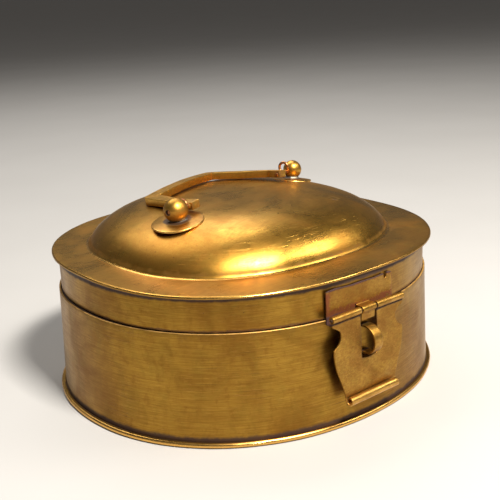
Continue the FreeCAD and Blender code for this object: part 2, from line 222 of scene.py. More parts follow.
def rounded(corners, radius, steps=3):
    """Rings of a closed section, with each of its corners rounded."""
    rings = []
    for index, corner in enumerate(corners):
        before = corners[index - 1]
        after = corners[(index + 1) % len(corners)]
        back = min(0.45, radius / ring_gap(corner, before))
        on = min(0.45, radius / ring_gap(corner, after))
        start = ring_between(corner, before, back)
        end = ring_between(corner, after, on)
        for step in range(steps + 1):
            share = step / steps
            near = ring_between(start, corner, share)
            far = ring_between(corner, end, share)
            rings.append(ring_between(near, far, share))
    return rings


def divided(rings, longest, closed=True):
    """The same rings with extra ones wherever two are far apart."""
    result = []
    ends = rings[1:] + rings[:1] if closed else rings[1:]
    for first, second in zip(rings, ends):
        count = max(1, math.ceil(ring_gap(first, second) / longest))
        result += [ring_between(first, second, step / count) for step in range(count)]
    return result if closed else result + rings[-1:]


def mirrored(outline):
    """The same open outline on the other side, in the order that closes it."""
    return [Vector((-p.x, p.y)) for p in reversed(outline)]


def ease(low, high, value):
    share = min(1.0, max(0.0, (value - low) / (high - low)))
    return share * share * (3.0 - 2.0 * share)


def fade(low, high, value):
    """1 up to low and 0 beyond high."""
    return 1.0 - ease(low, high, value)


def wobble(point, size, seed):
    """Smooth unevenness between about -1 and 1 over that size."""
    return noise.noise(Vector(point) / size + Vector((seed, -seed, 2.0 * seed)))


# ---- making pieces ----------------------------------------------------------
def new_piece(name, mesh, body, slot, nodes=()):
    piece = bpy.data.objects.new(name, mesh)
    bpy.context.scene.collection.objects.link(piece)
    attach(piece, body)
    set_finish(piece, slot)
    if nodes:
        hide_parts(*nodes)
    return piece


def mesh_from(name, bm):
    bmesh.ops.recalc_face_normals(bm, faces=bm.faces)
    for face in bm.faces:
        face.smooth = True
    mesh = bpy.data.meshes.new(name)
    bm.to_mesh(mesh)
    bm.free()
    mesh.set_sharp_from_angle(angle=SHARP)
    return mesh


def settled(mesh, modify):
    """The mesh after the modifiers that modify() adds to a stand-in object."""
    holder = bpy.data.objects.new("holder", mesh)
    bpy.context.scene.collection.objects.link(holder)
    modify(holder)
    bpy.context.view_layer.update()
    graph = bpy.context.evaluated_depsgraph_get()
    result = bpy.data.meshes.new_from_object(holder.evaluated_get(graph))
    result.name = mesh.name
    bpy.data.objects.remove(holder)
    return result


def paint(piece, name, shade):
    """A mask on the mesh, from shade(point), that the materials read."""
    layer = piece.data.attributes.new(name, "FLOAT", "POINT")
    values = [min(1.0, max(0.0, shade(vertex.co))) for vertex in piece.data.vertices]
    layer.data.foreach_set("value", values)


def skin(bm, loops):
    """Faces between each loop of vertices and the next. A loop of one vertex is a tip."""
    for first, second in loops:
        steps = max(len(first), len(second))
        for step in range(steps):
            after = (step + 1) % steps
            if len(first) == 1:
                bm.faces.new((first[0], second[after], second[step]))
            elif len(second) == 1:
                bm.faces.new((first[step], first[after], second[0]))
            else:
                bm.faces.new((first[step], first[after], second[after], second[step]))


def move(bm, shift):
    """Adds shift(point) to each vertex."""
    if shift:
        for vertex in bm.verts:
            vertex.co += shift(vertex.co)


def shell_mesh(name, rings, shift=None, closed=True, steps=RING_STEPS):
    """A skin over superellipse rings. An open one starts and ends on the axis."""
    bm = bmesh.new()
    loops = []
    for outline, z in rings:
        if outline[0] < MM:
            loops.append([bm.verts.new((0.0, 0.0, z))])
            continue
        angles = [2.0 * math.pi * (step + 0.5) / steps for step in range(steps)]
        loops.append([bm.verts.new((*outline_point(outline, angle), z)) for angle in angles])
    ends = loops[1:] + loops[:1] if closed else loops[1:]
    skin(bm, zip(loops, ends))
    move(bm, shift)
    return mesh_from(name, bm)


def lathe_mesh(name, profile, steps, place, shift=None):
    """A turned shape: profile is (radius, height) pairs, the first and last on the axis."""
    bm = bmesh.new()
    loops = []
    for radius, height in profile:
        if radius < 1e-6:
            loops.append([bm.verts.new((0.0, 0.0, height))])
            continue
        angles = [2.0 * math.pi * step / steps for step in range(steps)]
        loops.append([
            bm.verts.new((radius * math.cos(angle), radius * math.sin(angle), height))
            for angle in angles])
    skin(bm, zip(loops, loops[1:]))
    move(bm, shift)
    bm.transform(place)
    return mesh_from(name, bm)


def drilled(solid, bores):
    """The mesh with a hole where each bore runs through it."""
    cutters = []
    for bore in bores:
        cutter = bpy.data.objects.new("bore", bore)
        bpy.context.scene.collection.objects.link(cutter)
        cutters.append(cutter)

    def drill(holder):
        for cutter in cutters:
            cut = holder.modifiers.new("bore", "BOOLEAN")
            cut.operation = "DIFFERENCE"
            cut.solver = "EXACT"
            cut.object = cutter

    mesh = settled(solid, drill)
    mesh.set_sharp_from_angle(angle=SHARP_AFTER_CUT)
    for cutter in cutters:
        bpy.data.objects.remove(cutter)
    return mesh


def smooth_line(points, per_span=6):
    """A smooth open line through the points (Catmull-Rom)."""
    line = []
    last = len(points) - 1
    for index in range(last):
        before = Vector(points[max(index - 1, 0)])
        start = Vector(points[index])
        end = Vector(points[index + 1])
        after = Vector(points[min(index + 2, last)])
        for step in range(per_span):
            t = step / per_span
            pull = (end - before) * 0.5
            push = (after - start) * 0.5
            line.append(
                start * (2 * t ** 3 - 3 * t ** 2 + 1)
                + end * (3 * t ** 2 - 2 * t ** 3)
                + pull * (t ** 3 - 2 * t ** 2 + t)
                + push * (t ** 3 - t ** 2)
            )
    line.append(Vector(points[-1]))
    return line


def bent_path(start, heading, parts):
    """A line of (length, turn in degrees) parts. Returns place(distance) -> 2-D point."""
    pieces = []
    point = Vector(start)
    angle = math.radians(heading)
    travelled = 0.0
    for length, turn in parts:
        pieces.append((travelled, length, math.radians(turn), point.copy(), angle))
        point = arc_point(point, angle, length, math.radians(turn), length)
        angle += math.radians(turn)
        travelled += length

    def place(distance):
        chosen = pieces[0]
        for piece in pieces:
            if distance >= piece[0]:
                chosen = piece
        begun, length, turn, origin, facing = chosen
        return arc_point(origin, facing, length, turn, distance - begun)

    return place, travelled


def arc_point(origin, facing, length, turn, distance):
    if abs(turn) < 1e-6:
        return origin + Vector((math.cos(facing), math.sin(facing))) * distance
    radius = length / turn
    now = facing + turn * distance / length
    across = math.sin(now) - math.sin(facing)
    along = math.cos(facing) - math.cos(now)
    return origin + Vector((across, along)) * radius


def arc(radius, turn):
    """One bend of a path, as (length, turn)."""
    return abs(math.radians(turn)) * radius, turn


def sheet_mesh(name, outlines, cell, place, thickness, edge):
    """A cut sheet: flat outlines (the first outside, the rest holes), laid out by place."""
    bm = bmesh.new()
    for outline in outlines:
        verts = [bm.verts.new((p[0], p[1], 0.0)) for p in outline]
        for index, vertex in enumerate(verts):
            bm.edges.new((vertex, verts[(index + 1) % len(verts)]))
    bmesh.ops.triangle_fill(bm, use_beauty=True, use_dissolve=False, edges=bm.edges)
    for axis in (0, 1):
        low = min(v.co[axis] for v in bm.verts)
        high = max(v.co[axis] for v in bm.verts)
        count = math.ceil((high - low) / cell[axis])
        normal = Vector((1.0, 0.0, 0.0)) if axis == 0 else Vector((0.0, 1.0, 0.0))
        for step in range(1, count):
            at = normal * (low + (high - low) * step / count)
            everything = bm.verts[:] + bm.edges[:] + bm.faces[:]
            bmesh.ops.bisect_plane(bm, geom=everything, plane_co=at, plane_no=normal)
    bmesh.ops.remove_doubles(bm, verts=bm.verts, dist=0.06 * MM)
    bmesh.ops.dissolve_limit(
        bm, angle_limit=0.001, verts=[], edges=[e for e in bm.edges if is_slanted(e)])
    for vertex in bm.verts:
        vertex.co = place(vertex.co.x, vertex.co.y)
    flat = mesh_from(name, bm)

    def thicken(holder):
        solid = holder.modifiers.new("thickness", "SOLIDIFY")
        solid.thickness = thickness
        solid.offset = 0.0
        solid.use_even_offset = False
        bevel = holder.modifiers.new("edge", "BEVEL")
        bevel.width = edge
        bevel.segments = 3
        bevel.limit_method = "ANGLE"
        bevel.angle_limit = math.radians(50.0)
        bevel.use_clamp_overlap = False

    mesh = settled(flat, thicken)
    mesh.set_sharp_from_angle(angle=SHARP)
    return mesh


def is_slanted(edge):
    """True for a fill edge inside the sheet that follows neither cutting direction."""
    step = edge.verts[1].co - edge.verts[0].co
    inside = len(edge.link_faces) == 2
    return inside and abs(step.x) > 0.01 * MM and abs(step.y) > 0.01 * MM


# ---- body -------------------------------------------------------------------
def sheet_unevenness(point, amount, size, seed):
    """A push toward the axis that makes hand-raised sheet slightly uneven."""
    outward = Vector((point.x, point.y, 0.0))
    if outward.length < 0.02:
        return Vector((0.0, 0.0, 0.0))
    return outward.normalized() * (amount * (wobble(point, size, seed) - 0.9))


def make_wall():
    foot_z = wall_low.z
    corners = [
        (body_outline(foot_z), foot_z),
        (BODY_TOP, SEAM_Z),
        (grown(BODY_TOP, -SHEET), SEAM_Z),
        (grown(body_outline(foot_z), -SHEET), foot_z),
    ]

    def shift(point):
        calm = 0.35 + 0.65 * ease(0.0, 12 * MM, min(point.z, SEAM_Z - point.z))
        return sheet_unevenness(point, 0.28 * MM * calm, 46 * MM, 3.1)

    rings = divided(rounded(corners, EDGE_ROUND), 2.4 * MM)
    piece = new_piece("wall_sheet", shell_mesh("wall_sheet", rings, shift),
                      "body", "body_brass", ["body_wall"])
    # Painted highlight: a thin bright line along the top edge of the wall, just below the seam.
    paint(piece, "edge", lambda p: 0.55 * ease(SEAM_Z - 0.5 * MM, SEAM_Z - 0.1 * MM, p.z))

    # Darker towards the foot above the bead and below the seam, with painted shade on the wall's top ledge
    # in the seam.
    def grime(point):
        foot = fade(3.0 * MM, 8.0 * MM, point.z)
        under_seam = 0.30 * ease(SEAM_Z - 9.0 * MM, SEAM_Z - 1.5 * MM, point.z)
        on_ledge = 0.55 * ease(SEAM_Z - 0.15 * MM, SEAM_Z, point.z)
        return foot + under_seam + on_ledge

    paint(piece, "grime", grime)
    return piece


def make_base():
    floor_z = SHEET
    corner = grown(BEAD, -BEAD_ROUND)
    core = grown(BODY_FOOT, 0.05 * MM)
    rings = [(CENTRE, floor_z), (scaled(core, 0.5), floor_z), (core, floor_z)]
    rings.append((core, base_high.z - 0.4 * MM))
    for step in range(13):
        angle = math.pi / 2.0 - math.pi * step / 12
        up = base_high.z / 2.0
        rings.append((grown(corner, BEAD_ROUND * math.cos(angle)), up + up * math.sin(angle)))
    rings += [(scaled(corner, 0.7), 0.0), (CENTRE, 0.0)]

    def shift(point):
        if point.z < 0.02 * MM:
            return Vector((0.0, 0.0, 0.0))
        return sheet_unevenness(point, 0.16 * MM, 18 * MM, 7.7)

    mesh = shell_mesh("foot_pan", divided(rings, 6 * MM, closed=False), shift, closed=False)
    piece = new_piece("foot_pan", mesh, "body", "body_brass", ["base_plate"])

    # Painted highlight and wear: the outer curve of the bead is lightened.
    def edge(point):
        reach = outline_share(BEAD, point.x, point.y)
        return ease(0.984, 0.997, reach) * ease(0.4 * MM, 1.4 * MM, point.z)

    # Painted shade in the corner where the top of the bead meets the wall.
    def grime(point):
        reach = outline_share(BEAD, point.x, point.y)
        return ease(0.990, 0.978, reach) * ease(2.0 * MM, 2.9 * MM, point.z)

    paint(piece, "edge", edge)
    paint(piece, "grime", grime)
    return piece


def make_collar():
    inside = grown(BODY_TOP, -SHEET - 0.2 * MM)
    step_in = grown(SKIRT, -SHEET - 0.7 * MM)
    ledge = SEAM_Z - COLLAR_SHEET
    corners = [
        (inside, collar_low.z),
        (inside, SEAM_Z - 0.35 * MM),
        (step_in, SEAM_Z - 0.25 * MM),
        (step_in, collar_high.z),
        (grown(step_in, -COLLAR_SHEET), collar_high.z),
        (grown(step_in, -COLLAR_SHEET), ledge),
        (grown(inside, -COLLAR_SHEET), ledge),
        (grown(inside, -COLLAR_SHEET), collar_low.z),
    ]

    def shift(point):
        return sheet_unevenness(point, 0.15 * MM, 40 * MM, 5.3)

    rings = divided(rounded(corners, 0.25 * MM), 2.5 * MM)
    piece = new_piece("neck_band", shell_mesh("neck_band", rings, shift),
                      "body", "body_brass", ["neck_collar"])
    # Painted highlight and wear on the collar's top edge; painted shade where the collar meets the top of
    # the wall.
    paint(piece, "edge", lambda p: ease(collar_high.z - 0.9 * MM, collar_high.z - 0.2 * MM, p.z))
    paint(piece, "grime", lambda p: fade(1.0 * MM, 3.0 * MM, abs(p.z - SEAM_Z)))
    return piece


# ---- lid ----------------------------------------------------------------------
def dome_height(share):
    return DOME_RISE * (1.0 - share ** DOME_FULLNESS) ** DOME_SHOULDER


def dome_shares():
    """Shares of the way to the dome's rim, closer together on the shoulder."""
    return [math.sin(math.pi / 2.0 * step / 44) ** 0.9 for step in range(1, 44)]


def dome_share(point):
    """0 on the dome's axis and 1 at its foot."""
    return outline_share(DOME, point.x - DOME_MIDDLE.x, point.y - DOME_MIDDLE.y)


def make_lid():
    foot_share = 0.993
    foot = (scaled(DOME, foot_share), FLANGE_Z + dome_height(foot_share))
    crease = (grown(DOME, 0.4 * MM), FLANGE_Z - 0.05 * MM)
    out = (grown(DOME, 1.9 * MM), FLANGE_Z - 0.05 * MM)
    rings = [(CENTRE, dome_high.z)]
    for share in dome_shares():
        if share < foot_share - 0.002:
            rings.append((scaled(DOME, share), FLANGE_Z + dome_height(share)))
    for step in range(7):
        share = step / 6
        toward = ring_between(foot, crease, share)
        away = ring_between(crease, out, share)
        rings.append(ring_between(toward, away, share))
    rings.append((grown(DOME, 2.6 * MM), FLANGE_Z + 0.02 * MM))
    rings.append((grown(DOME, 3.6 * MM), FLANGE_Z))
    inner = (grown(DOME, 4.6 * MM), FLANGE_Z)
    outer = (grown(FLANGE, -HEM / 2.0), FLANGE_Z)
    rings += divided([inner, outer], 1.8 * MM, closed=False)
    for step in range(1, 10):
        angle = math.pi / 2.0 - math.pi * step / 10
        reach = (math.cos(angle) - 1.0) * HEM / 2.0
        rings.append((grown(FLANGE, reach), FLANGE_Z - HEM / 2.0 + math.sin(angle) * HEM / 2.0))
    fold = 4.0 * MM
    rings += [
        (grown(FLANGE, -HEM / 2.0), FLANGE_Z - HEM),
        (grown(FLANGE, 0.3 * MM - fold), FLANGE_Z - HEM),
        (grown(FLANGE, -fold), FLANGE_Z - HEM + 0.3 * MM),
        (grown(FLANGE, -fold), FLANGE_Z - SHEET - 0.05 * MM),
        (grown(FLANGE, -fold - 0.3 * MM), FLANGE_Z - SHEET),
        (grown(DOME, 0.6 * MM - SHEET), FLANGE_Z - SHEET),
    ]
    inside = grown(DOME, -SHEET)
    for share in reversed(dome_shares()):
        rings.append((scaled(inside, share), FLANGE_Z - SHEET + dome_height(share)))
    rings.append((CENTRE, dome_high.z - SHEET))

    def shift(point):
        reach = outline_share(FLANGE, point.x, point.y)
        rim = ease(0.93, 1.0, reach)
        sink = 0.16 * MM * (wobble(point, 34 * MM, 1.7) - 0.9)
        sink += 0.05 * MM * wobble(point, 9 * MM, 4.4)
        off_foot = abs(outline_share(DOME, point.x, point.y) - 1.0) * DOME[0]
        near_foot = fade(0.0, 3.0 * MM, off_foot)
        waver = near_foot * 0.35 * MM * wobble(point, 15 * MM, 9.1)
        side = Vector((point.x, point.y, 0.0)).normalized() if point.length > 0 else Vector()
        push = 0.22 * MM * (wobble(point, 26 * MM, 6.2) - 0.9)
        off_axis = fade(1.05, 1.20, outline_share(DOME, point.x, point.y))
        aside = Vector((DOME_MIDDLE.x, DOME_MIDDLE.y, 0.0)) * off_axis
        return Vector((0.0, 0.0, sink)) + side * (push * rim + waver) + aside

    mesh = shell_mesh("lid_shell", rings, shift, closed=False)
    piece = new_piece("lid_shell", mesh, "lid", "lid_brass", ["lid_flange", "lid_dome"])

    # Painted highlight and polish wear: bright lines on the flange's rim and on the crease at the dome's
    # foot.
    def edge(point):
        reach = outline_share(FLANGE, point.x, point.y)
        on_rim = 0.62 * ease(0.988, 0.996, reach) * ease(FLANGE_Z - 1.5 * MM, FLANGE_Z - 0.7 * MM, point.z)
        off_foot = abs(dome_share(point) - 1.012) * DOME[0]
        on_crease = 0.55 * fade(0.3 * MM, 1.4 * MM, off_foot)
        return on_rim + on_crease * ease(FLANGE_Z - 0.6 * MM, FLANGE_Z - 0.2 * MM, point.z)

    # Painted shade under the flange's hem, where there is purple-black tarnish too, and beside the crease
    # at the dome's foot; the dark ring at DOME_MARK is a real mark.
    def grime(point):
        under = fade(FLANGE_Z - 1.7 * MM, FLANGE_Z - 1.0 * MM, point.z)
        off_foot = (dome_share(point) - 1.0) * DOME[0]
        beside = ease(-2.6 * MM, -0.6 * MM, off_foot) * fade(-0.4 * MM, 0.4 * MM, off_foot)
        off_mark = Vector((point.x, point.y)) - Vector(DOME_MARK)
        ring = abs(off_mark.length - 2.6 * MM)
        mark = 0.85 * fade(0.3 * MM, 1.2 * MM, ring) * float(point.z > FLANGE_Z + 2 * MM)
        return under + 0.45 * beside + mark

    paint(piece, "edge", edge)
    paint(piece, "grime", grime)
    return piece


def make_skirt():
    corners = [
        (SKIRT, skirt_low.z),
        (SKIRT, skirt_high.z),
        (grown(SKIRT, -SHEET), skirt_high.z),
        (grown(SKIRT, -SHEET), skirt_low.z),
    ]

    def shift(point):
        return sheet_unevenness(point, 0.24 * MM, 38 * MM, 2.2)

    rings = divided(rounded(corners, EDGE_ROUND), 2.0 * MM)
    piece = new_piece("skirt_band", shell_mesh("skirt_band", rings, shift),
                      "lid", "body_brass", ["lid_skirt"])
    # Painted highlight and wear on the skirt's lower edge.
    paint(piece, "edge", lambda p: 0.4 * fade(skirt_low.z + 0.2 * MM, skirt_low.z + 0.6 * MM, p.z))

    # Painted shadow of the flange on the top of the skirt, over purple-black tarnish; a dark joint line at
    # the seam.
    def grime(point):
        under_flange = 1.15 * ease(FLANGE_Z - 6.5 * MM, FLANGE_Z - 2.2 * MM, point.z)
        at_seam = 0.75 * fade(0.3 * MM, 2.2 * MM, point.z - skirt_low.z)
        return under_flange + at_seam

    paint(piece, "grime", grime)
    return piece


# ---- handle posts ---------------------------------------------------------------
HANDLE_TURN = Matrix.Rotation(math.atan2(HANDLE_LINE.y, HANDLE_LINE.x), 4, "Z")
HANDLE_PLACE = HANDLE_TURN @ Matrix.Translation((0.0, 0.0, BALL_Z))


def post_place(side):
    """From a post's own frame (ball centre, axis up) to its place over the dome."""
    lean = Matrix.Rotation(side * POST_TILT, 4, "Y")
    return HANDLE_TURN @ Matrix.Translation((side * BALL_REACH, 0.0, BALL_Z)) @ lean


def disc_height(radius, curve):
    return math.sqrt(curve * curve - radius * radius) - DISC_CURVE - DISC_DROP


def make_rosette(side):
    rim = ROSETTE_R[side]
    top = DISC_CURVE + DISC_SHEET
    edge = 0.35 * MM
    profile = [(rim * step / 20, disc_height(rim * step / 20, top)) for step in range(20)]
    profile += [
        (rim - edge, disc_height(rim - edge, top)),
        (rim - 0.1 * MM, disc_height(rim, top) - 0.12 * MM),
        (rim, disc_height(rim, top) - edge),
        (rim, disc_height(rim, DISC_CURVE) + edge),
        (rim - edge, disc_height(rim - edge, DISC_CURVE)),
    ]
    for step in range(1, 9):
        radius = rim * (1 - step / 8)
        profile.append((radius, disc_height(radius, DISC_CURVE)))

    def shift(point):
        spread = Vector((point.x, point.y, 0.0)).length / rim
        angle = math.atan2(point.y, point.x)
        round_out = -0.5 * MM * (0.5 + 0.5 * math.sin(2.0 * angle + side)) * spread ** 3
        lift = 0.3 * MM * wobble(point, 12 * MM, 3.0 + side) * spread ** 2
        outward = Vector((math.cos(angle), math.sin(angle), 0.0)) * round_out
        return outward + Vector((0.0, 0.0, lift))

    name = "rosette_" + LABEL[side]
    mesh = lathe_mesh(name + "_disc", profile, 96, post_place(side), shift)
    piece = new_piece(name + "_disc", mesh, "lid", "rosette_brass", [name])
    back = post_place(side).inverted()

    def spread_of(point):
        local = back @ point
        return math.hypot(local.x, local.y)

    # Painted highlight and wear on the disc's rim; painted shade on the disc round the foot of the ball.
    paint(piece, "edge", lambda p: 0.7 * ease(rim - 1.3 * MM, rim - 0.3 * MM, spread_of(p)))
    ball = BALL_R[side]
    paint(piece, "grime", lambda p: 0.8 * fade(ball, ball + 3 * MM, spread_of(p)))

    def flux(point):
        at_rim = ease(rim - 2.2 * MM, rim - 0.3 * MM, spread_of(point))
        return 0.42 * at_rim * ease(-0.5 * rim, 0.8 * rim, (back @ point).x)

    paint(piece, "flux", flux)
    return piece


def make_ball(side):
    radius = BALL_R[side]
    profile = []
    for step in range(49):
        angle = math.pi / 2.0 - math.pi * 0.9 * step / 48
        profile.append((max(0.0, radius * math.cos(angle)), radius * math.sin(angle)))
    profile[0] = (0.0, radius)
    profile = [p for p in profile if p[1] > 0.0 or p[0] > STEM_R]
    drop = -STEM_LENGTH
    profile += [
        (STEM_R, -math.sqrt(radius ** 2 - STEM_R ** 2)), (STEM_R, drop + 0.3 * MM),
        (STEM_R - 0.3 * MM, drop), (0.0, drop)]

    def shift(point):
        if point.z < -radius:
            return Vector()
        return point.normalized() * (0.11 * MM * (wobble(point, 5 * MM, 1.0 + side) - 1.0))

    name = "post_" + LABEL[side]
    place = post_place(side)
    solid = lathe_mesh(name + "_ball", profile, 96, place, shift)
    mesh = drilled(solid, [rod_mesh("bore", BALL_BORE_R, radius * 0.45, radius * 1.4, side)])
    piece = new_piece(name + "_ball", mesh, "lid", "handle_brass", [name])
    hole = HANDLE_PLACE @ Vector((side * (BALL_REACH + radius), 0.0, 0.0))
    centre = place @ Vector((0.0, 0.0, 0.0))

    # Painted shade: darker inside the wire's hole and over the lower half of the ball.
    def grime(point):
        pit = fade(1.4 * MM, 2.3 * MM, (point - hole).length)
        under = ease(0.35 * radius, 0.95 * radius, centre.z - point.z)
        return pit + 0.7 * under

    paint(piece, "grime", grime)
    return piece


def rod_mesh(name, radius, low, high, side):
    """A rod on the handle line beside one ball, from low to high beyond its centre."""
    spin = Matrix.Rotation(math.radians(90.0), 4, "Y")
    start = side * (BALL_REACH + (low + high) / 2.0)
    length = high - low
    round_off = 0.25 * MM
    end = length / 2.0
    profile = [
        (0.0, -end), (radius - round_off, -end), (radius, round_off - end),
        (radius, end - round_off), (radius - round_off, end), (0.0, end)]
    place = HANDLE_PLACE @ Matrix.Translation((start, 0.0, 0.0)) @ spin
    return lathe_mesh(name, profile, 32, place)


def make_solder(side):
    """The ring of grey solder that holds the ball to its disc."""
    radius = BALL_R[side]
    top = disc_height(0.0, DISC_CURVE + DISC_SHEET)
    spread = radius * 0.84
    high = top + 0.62 * (-radius * 0.72 - top) + 1.9 * MM
    profile = [(0.0, high)]
    for step in range(15):
        share = step / 14
        across = SOLDER_R + (spread - SOLDER_R) * share
        fall = (1.0 - share) ** 2.2
        profile.append((across, top - 0.25 * MM + (high - top) * fall))
    profile += [(spread * 0.98, top - 0.8 * MM), (0.0, top - 0.9 * MM)]

    def shift(point):
        reach = Vector((point.x, point.y, 0.0))
        if reach.length < 1 * MM:
            return Vector()
        lump = wobble(point, 3.2 * MM, 11.0 + side) + 0.6 * wobble(point, 7 * MM, 2.0 - side)
        return reach.normalized() * (0.55 * MM * lump) + Vector((0.0, 0.0, 0.22 * MM * lump))

    name = "solder_" + LABEL[side]
    mesh = lathe_mesh(name, profile, 80, post_place(side), shift)
    return new_piece(name, mesh, "lid", "rosette_brass")


def make_peened_end(side):
    """The spread end of the post inside the dome."""
    end = -STEM_LENGTH - 0.6 * MM
    section = [
        (0.0, 0.0), (0.35, 0.1), (0.7, 0.6), (0.93, 1.3), (1.0, 2.0), (1.0, 2.7), (0.93, 3.9), (0.0, 3.9)]
    profile = [(share * PEENED_R, end + rise * MM) for share, rise in section]

    def shift(point):
        return Vector((0.0, 0.0, 0.25 * MM * wobble(point, 3 * MM, 5.0 + side)))

    name = "post_rivet_" + LABEL[side]
    mesh = lathe_mesh(name + "_head", profile, 48, post_place(side), shift)
    return new_piece(name + "_head", mesh, "lid", "fitting_brass", [name])


def make_pivot_wire(side):
    """The wire through ball and arm, with its spare end curled over between them."""
    name = "pivot_wire_" + LABEL[side]
    radius = BALL_R[side]
    rod = rod_mesh(name + "_rod", PIVOT_R, -18.6 * MM, radius - 1.1 * MM, side)
    beside_arm = side * (ARM_MIDDLE + ARM_HALF + 1.4 * MM)
    place = HANDLE_PLACE
    bm = bmesh.new()
    bm.from_mesh(rod)
    turns = 34
    around = 18
    rings = []
    for step in range(turns + 1):
        angle = math.radians(-100.0 + 318.0 * step / turns)
        drift = side * 1.1 * MM * (step / turns - 0.3)
        grip = CURL_R * (1.0 - 0.12 * step / turns)
        outward = Vector((0.0, math.cos(angle), math.sin(angle)))
        if side == NEAR:
            outward = Vector((0.0, -math.sin(angle), math.cos(angle)))
            middle = Vector((beside_arm + drift, CURL_R, 0.0))
        else:
            middle = Vector((beside_arm + drift, 0.0, CURL_R))
        thin = CURL_WIRE_R * (1.0 - 0.35 * ease(0.85, 1.0, step / turns))
        ring = []
        for spoke in range(around):
            spin = 2.0 * math.pi * spoke / around
            offset = outward * (math.cos(spin) * thin) + Vector((math.sin(spin) * thin, 0.0, 0.0))
            ring.append(bm.verts.new(place @ (middle + outward * grip + offset)))
        rings.append(ring)
    skin(bm, zip(rings, rings[1:]))
    bm.faces.new(rings[0])
    bm.faces.new(rings[-1])
    return new_piece(name + "_curl", mesh_from(name + "_curl", bm), "lid", "wire_copper", [name])


# ---- handle -----------------------------------------------------------------------
def arm_sides(side):
    """The outer and the inner edge of one arm, each from its pivot end to the grip."""
    arm, nose, half, grip = ARM_MIDDLE, ARM_NOSE, ARM_HALF, GRIP_WIDTH
    reach, back = GRIP_CORNER[side]
    outer = [
        (arm + half - 0.6 * MM, -nose), (arm + half, 0.6 * MM - nose), (arm + half, 6.0 * MM),
        (arm + half - 0.5 * MM, 12.0 * MM), (reach + 0.9 * MM, back - 6.5 * MM),
        (reach - 0.3 * MM, back - 2.0 * MM), (reach - 3.2 * MM, back)]
    inner = [
        (arm - half + 0.6 * MM, -nose), (arm - half, 0.6 * MM - nose), (arm - half, 6.0 * MM),
        (arm - half - 0.3 * MM, 11.0 * MM), (reach - 6.4 * MM, back - grip - 1.4 * MM),
        (reach - 7.6 * MM, back - grip)]
    return [[Vector((side * p.x, p.y)) for p in smooth_line(edge, 5)] for edge in (outer, inner)]


def make_handle():
    arch_r = ARM_MIDDLE ** 2 / (2.0 * HANDLE_ARCH)
    far_outer, far_inner = arm_sides(FAR)
    near_outer, near_inner = arm_sides(NEAR)
    outline = far_outer + near_outer[::-1] + near_inner + far_inner[::-1]
    place = HANDLE_PLACE
    tilt = Matrix.Rotation(-HANDLE_SLOPE, 4, "X")

    def lay(x, y):
        point = Vector((x, y, HANDLE_ARCH - arch_r + math.sqrt(arch_r * arch_r - x * x)))
        point.z += 0.18 * MM * wobble(point, 16 * MM, 8.0)
        point.y += 0.25 * MM * (wobble(point, 24 * MM, 2.5) - 0.8) * ease(0.0, 50 * MM, y)
        return place @ tilt @ point

    solid = sheet_mesh("bail_bar", [outline], (3.0 * MM, 3.0 * MM), lay, BAR_HEIGHT, 0.45 * MM)
    mesh = drilled(solid, [
        rod_mesh("bore", ARM_BORE_R, -19.4 * MM, -10.4 * MM, side) for side in (NEAR, FAR)])
    piece = new_piece("bail_bar", mesh, "handle", "handle_brass", ["handle_bail"])
    back = place.inverted()

    # Painted highlight and wear along the bar's upper and lower edges.
    def edge(point):
        local = tilt.inverted() @ back @ point
        middle = HANDLE_ARCH - local.x * local.x / (2.0 * arch_r)
        return ease(0.55, 0.95, abs(local.z - middle) / (BAR_HEIGHT / 2.0)) * 0.3

    paint(piece, "edge", edge)
    # Painted shade on the arms near the balls.
    paint(piece, "grime", lambda p: 0.5 * fade(2.0 * MM, 9.0 * MM, (back @ p).y))
    return piece


# ---- hasp -------------------------------------------------------------------------
def hasp_side():
    """One side of the plate: (half width, distance below the pin)."""
    ear = [(26.8, 2.6), (26.1, 4.4), (23.6, 5.8)]
    notch = [(21.0, 8.0), (20.8, 11.2), (22.6, 14.4), (26.0, 17.0)]
    taper = [(25.9, 22.0), (24.6, 29.0), (22.0, 36.0), (19.9, 42.5), (19.0, 46.8)]
    scale = [[Vector((w, d)) * MM for w, d in part] for part in (ear, notch, taper)]
    first = smooth_line(scale[0] + scale[1], 5)
    return first[:-1] + smooth_line([scale[1][-1]] + scale[2], 5)


def slot_corner(half, bottom, corner):
    """The rounded lower corner of the slot, from its floor to its side."""
    points = []
    for step in range(5):
        angle = math.radians(90.0 * step / 4)
        x = half - corner + corner * math.sin(angle)
        points.append(Vector((x, bottom - corner + corner * math.cos(angle))))
    return points


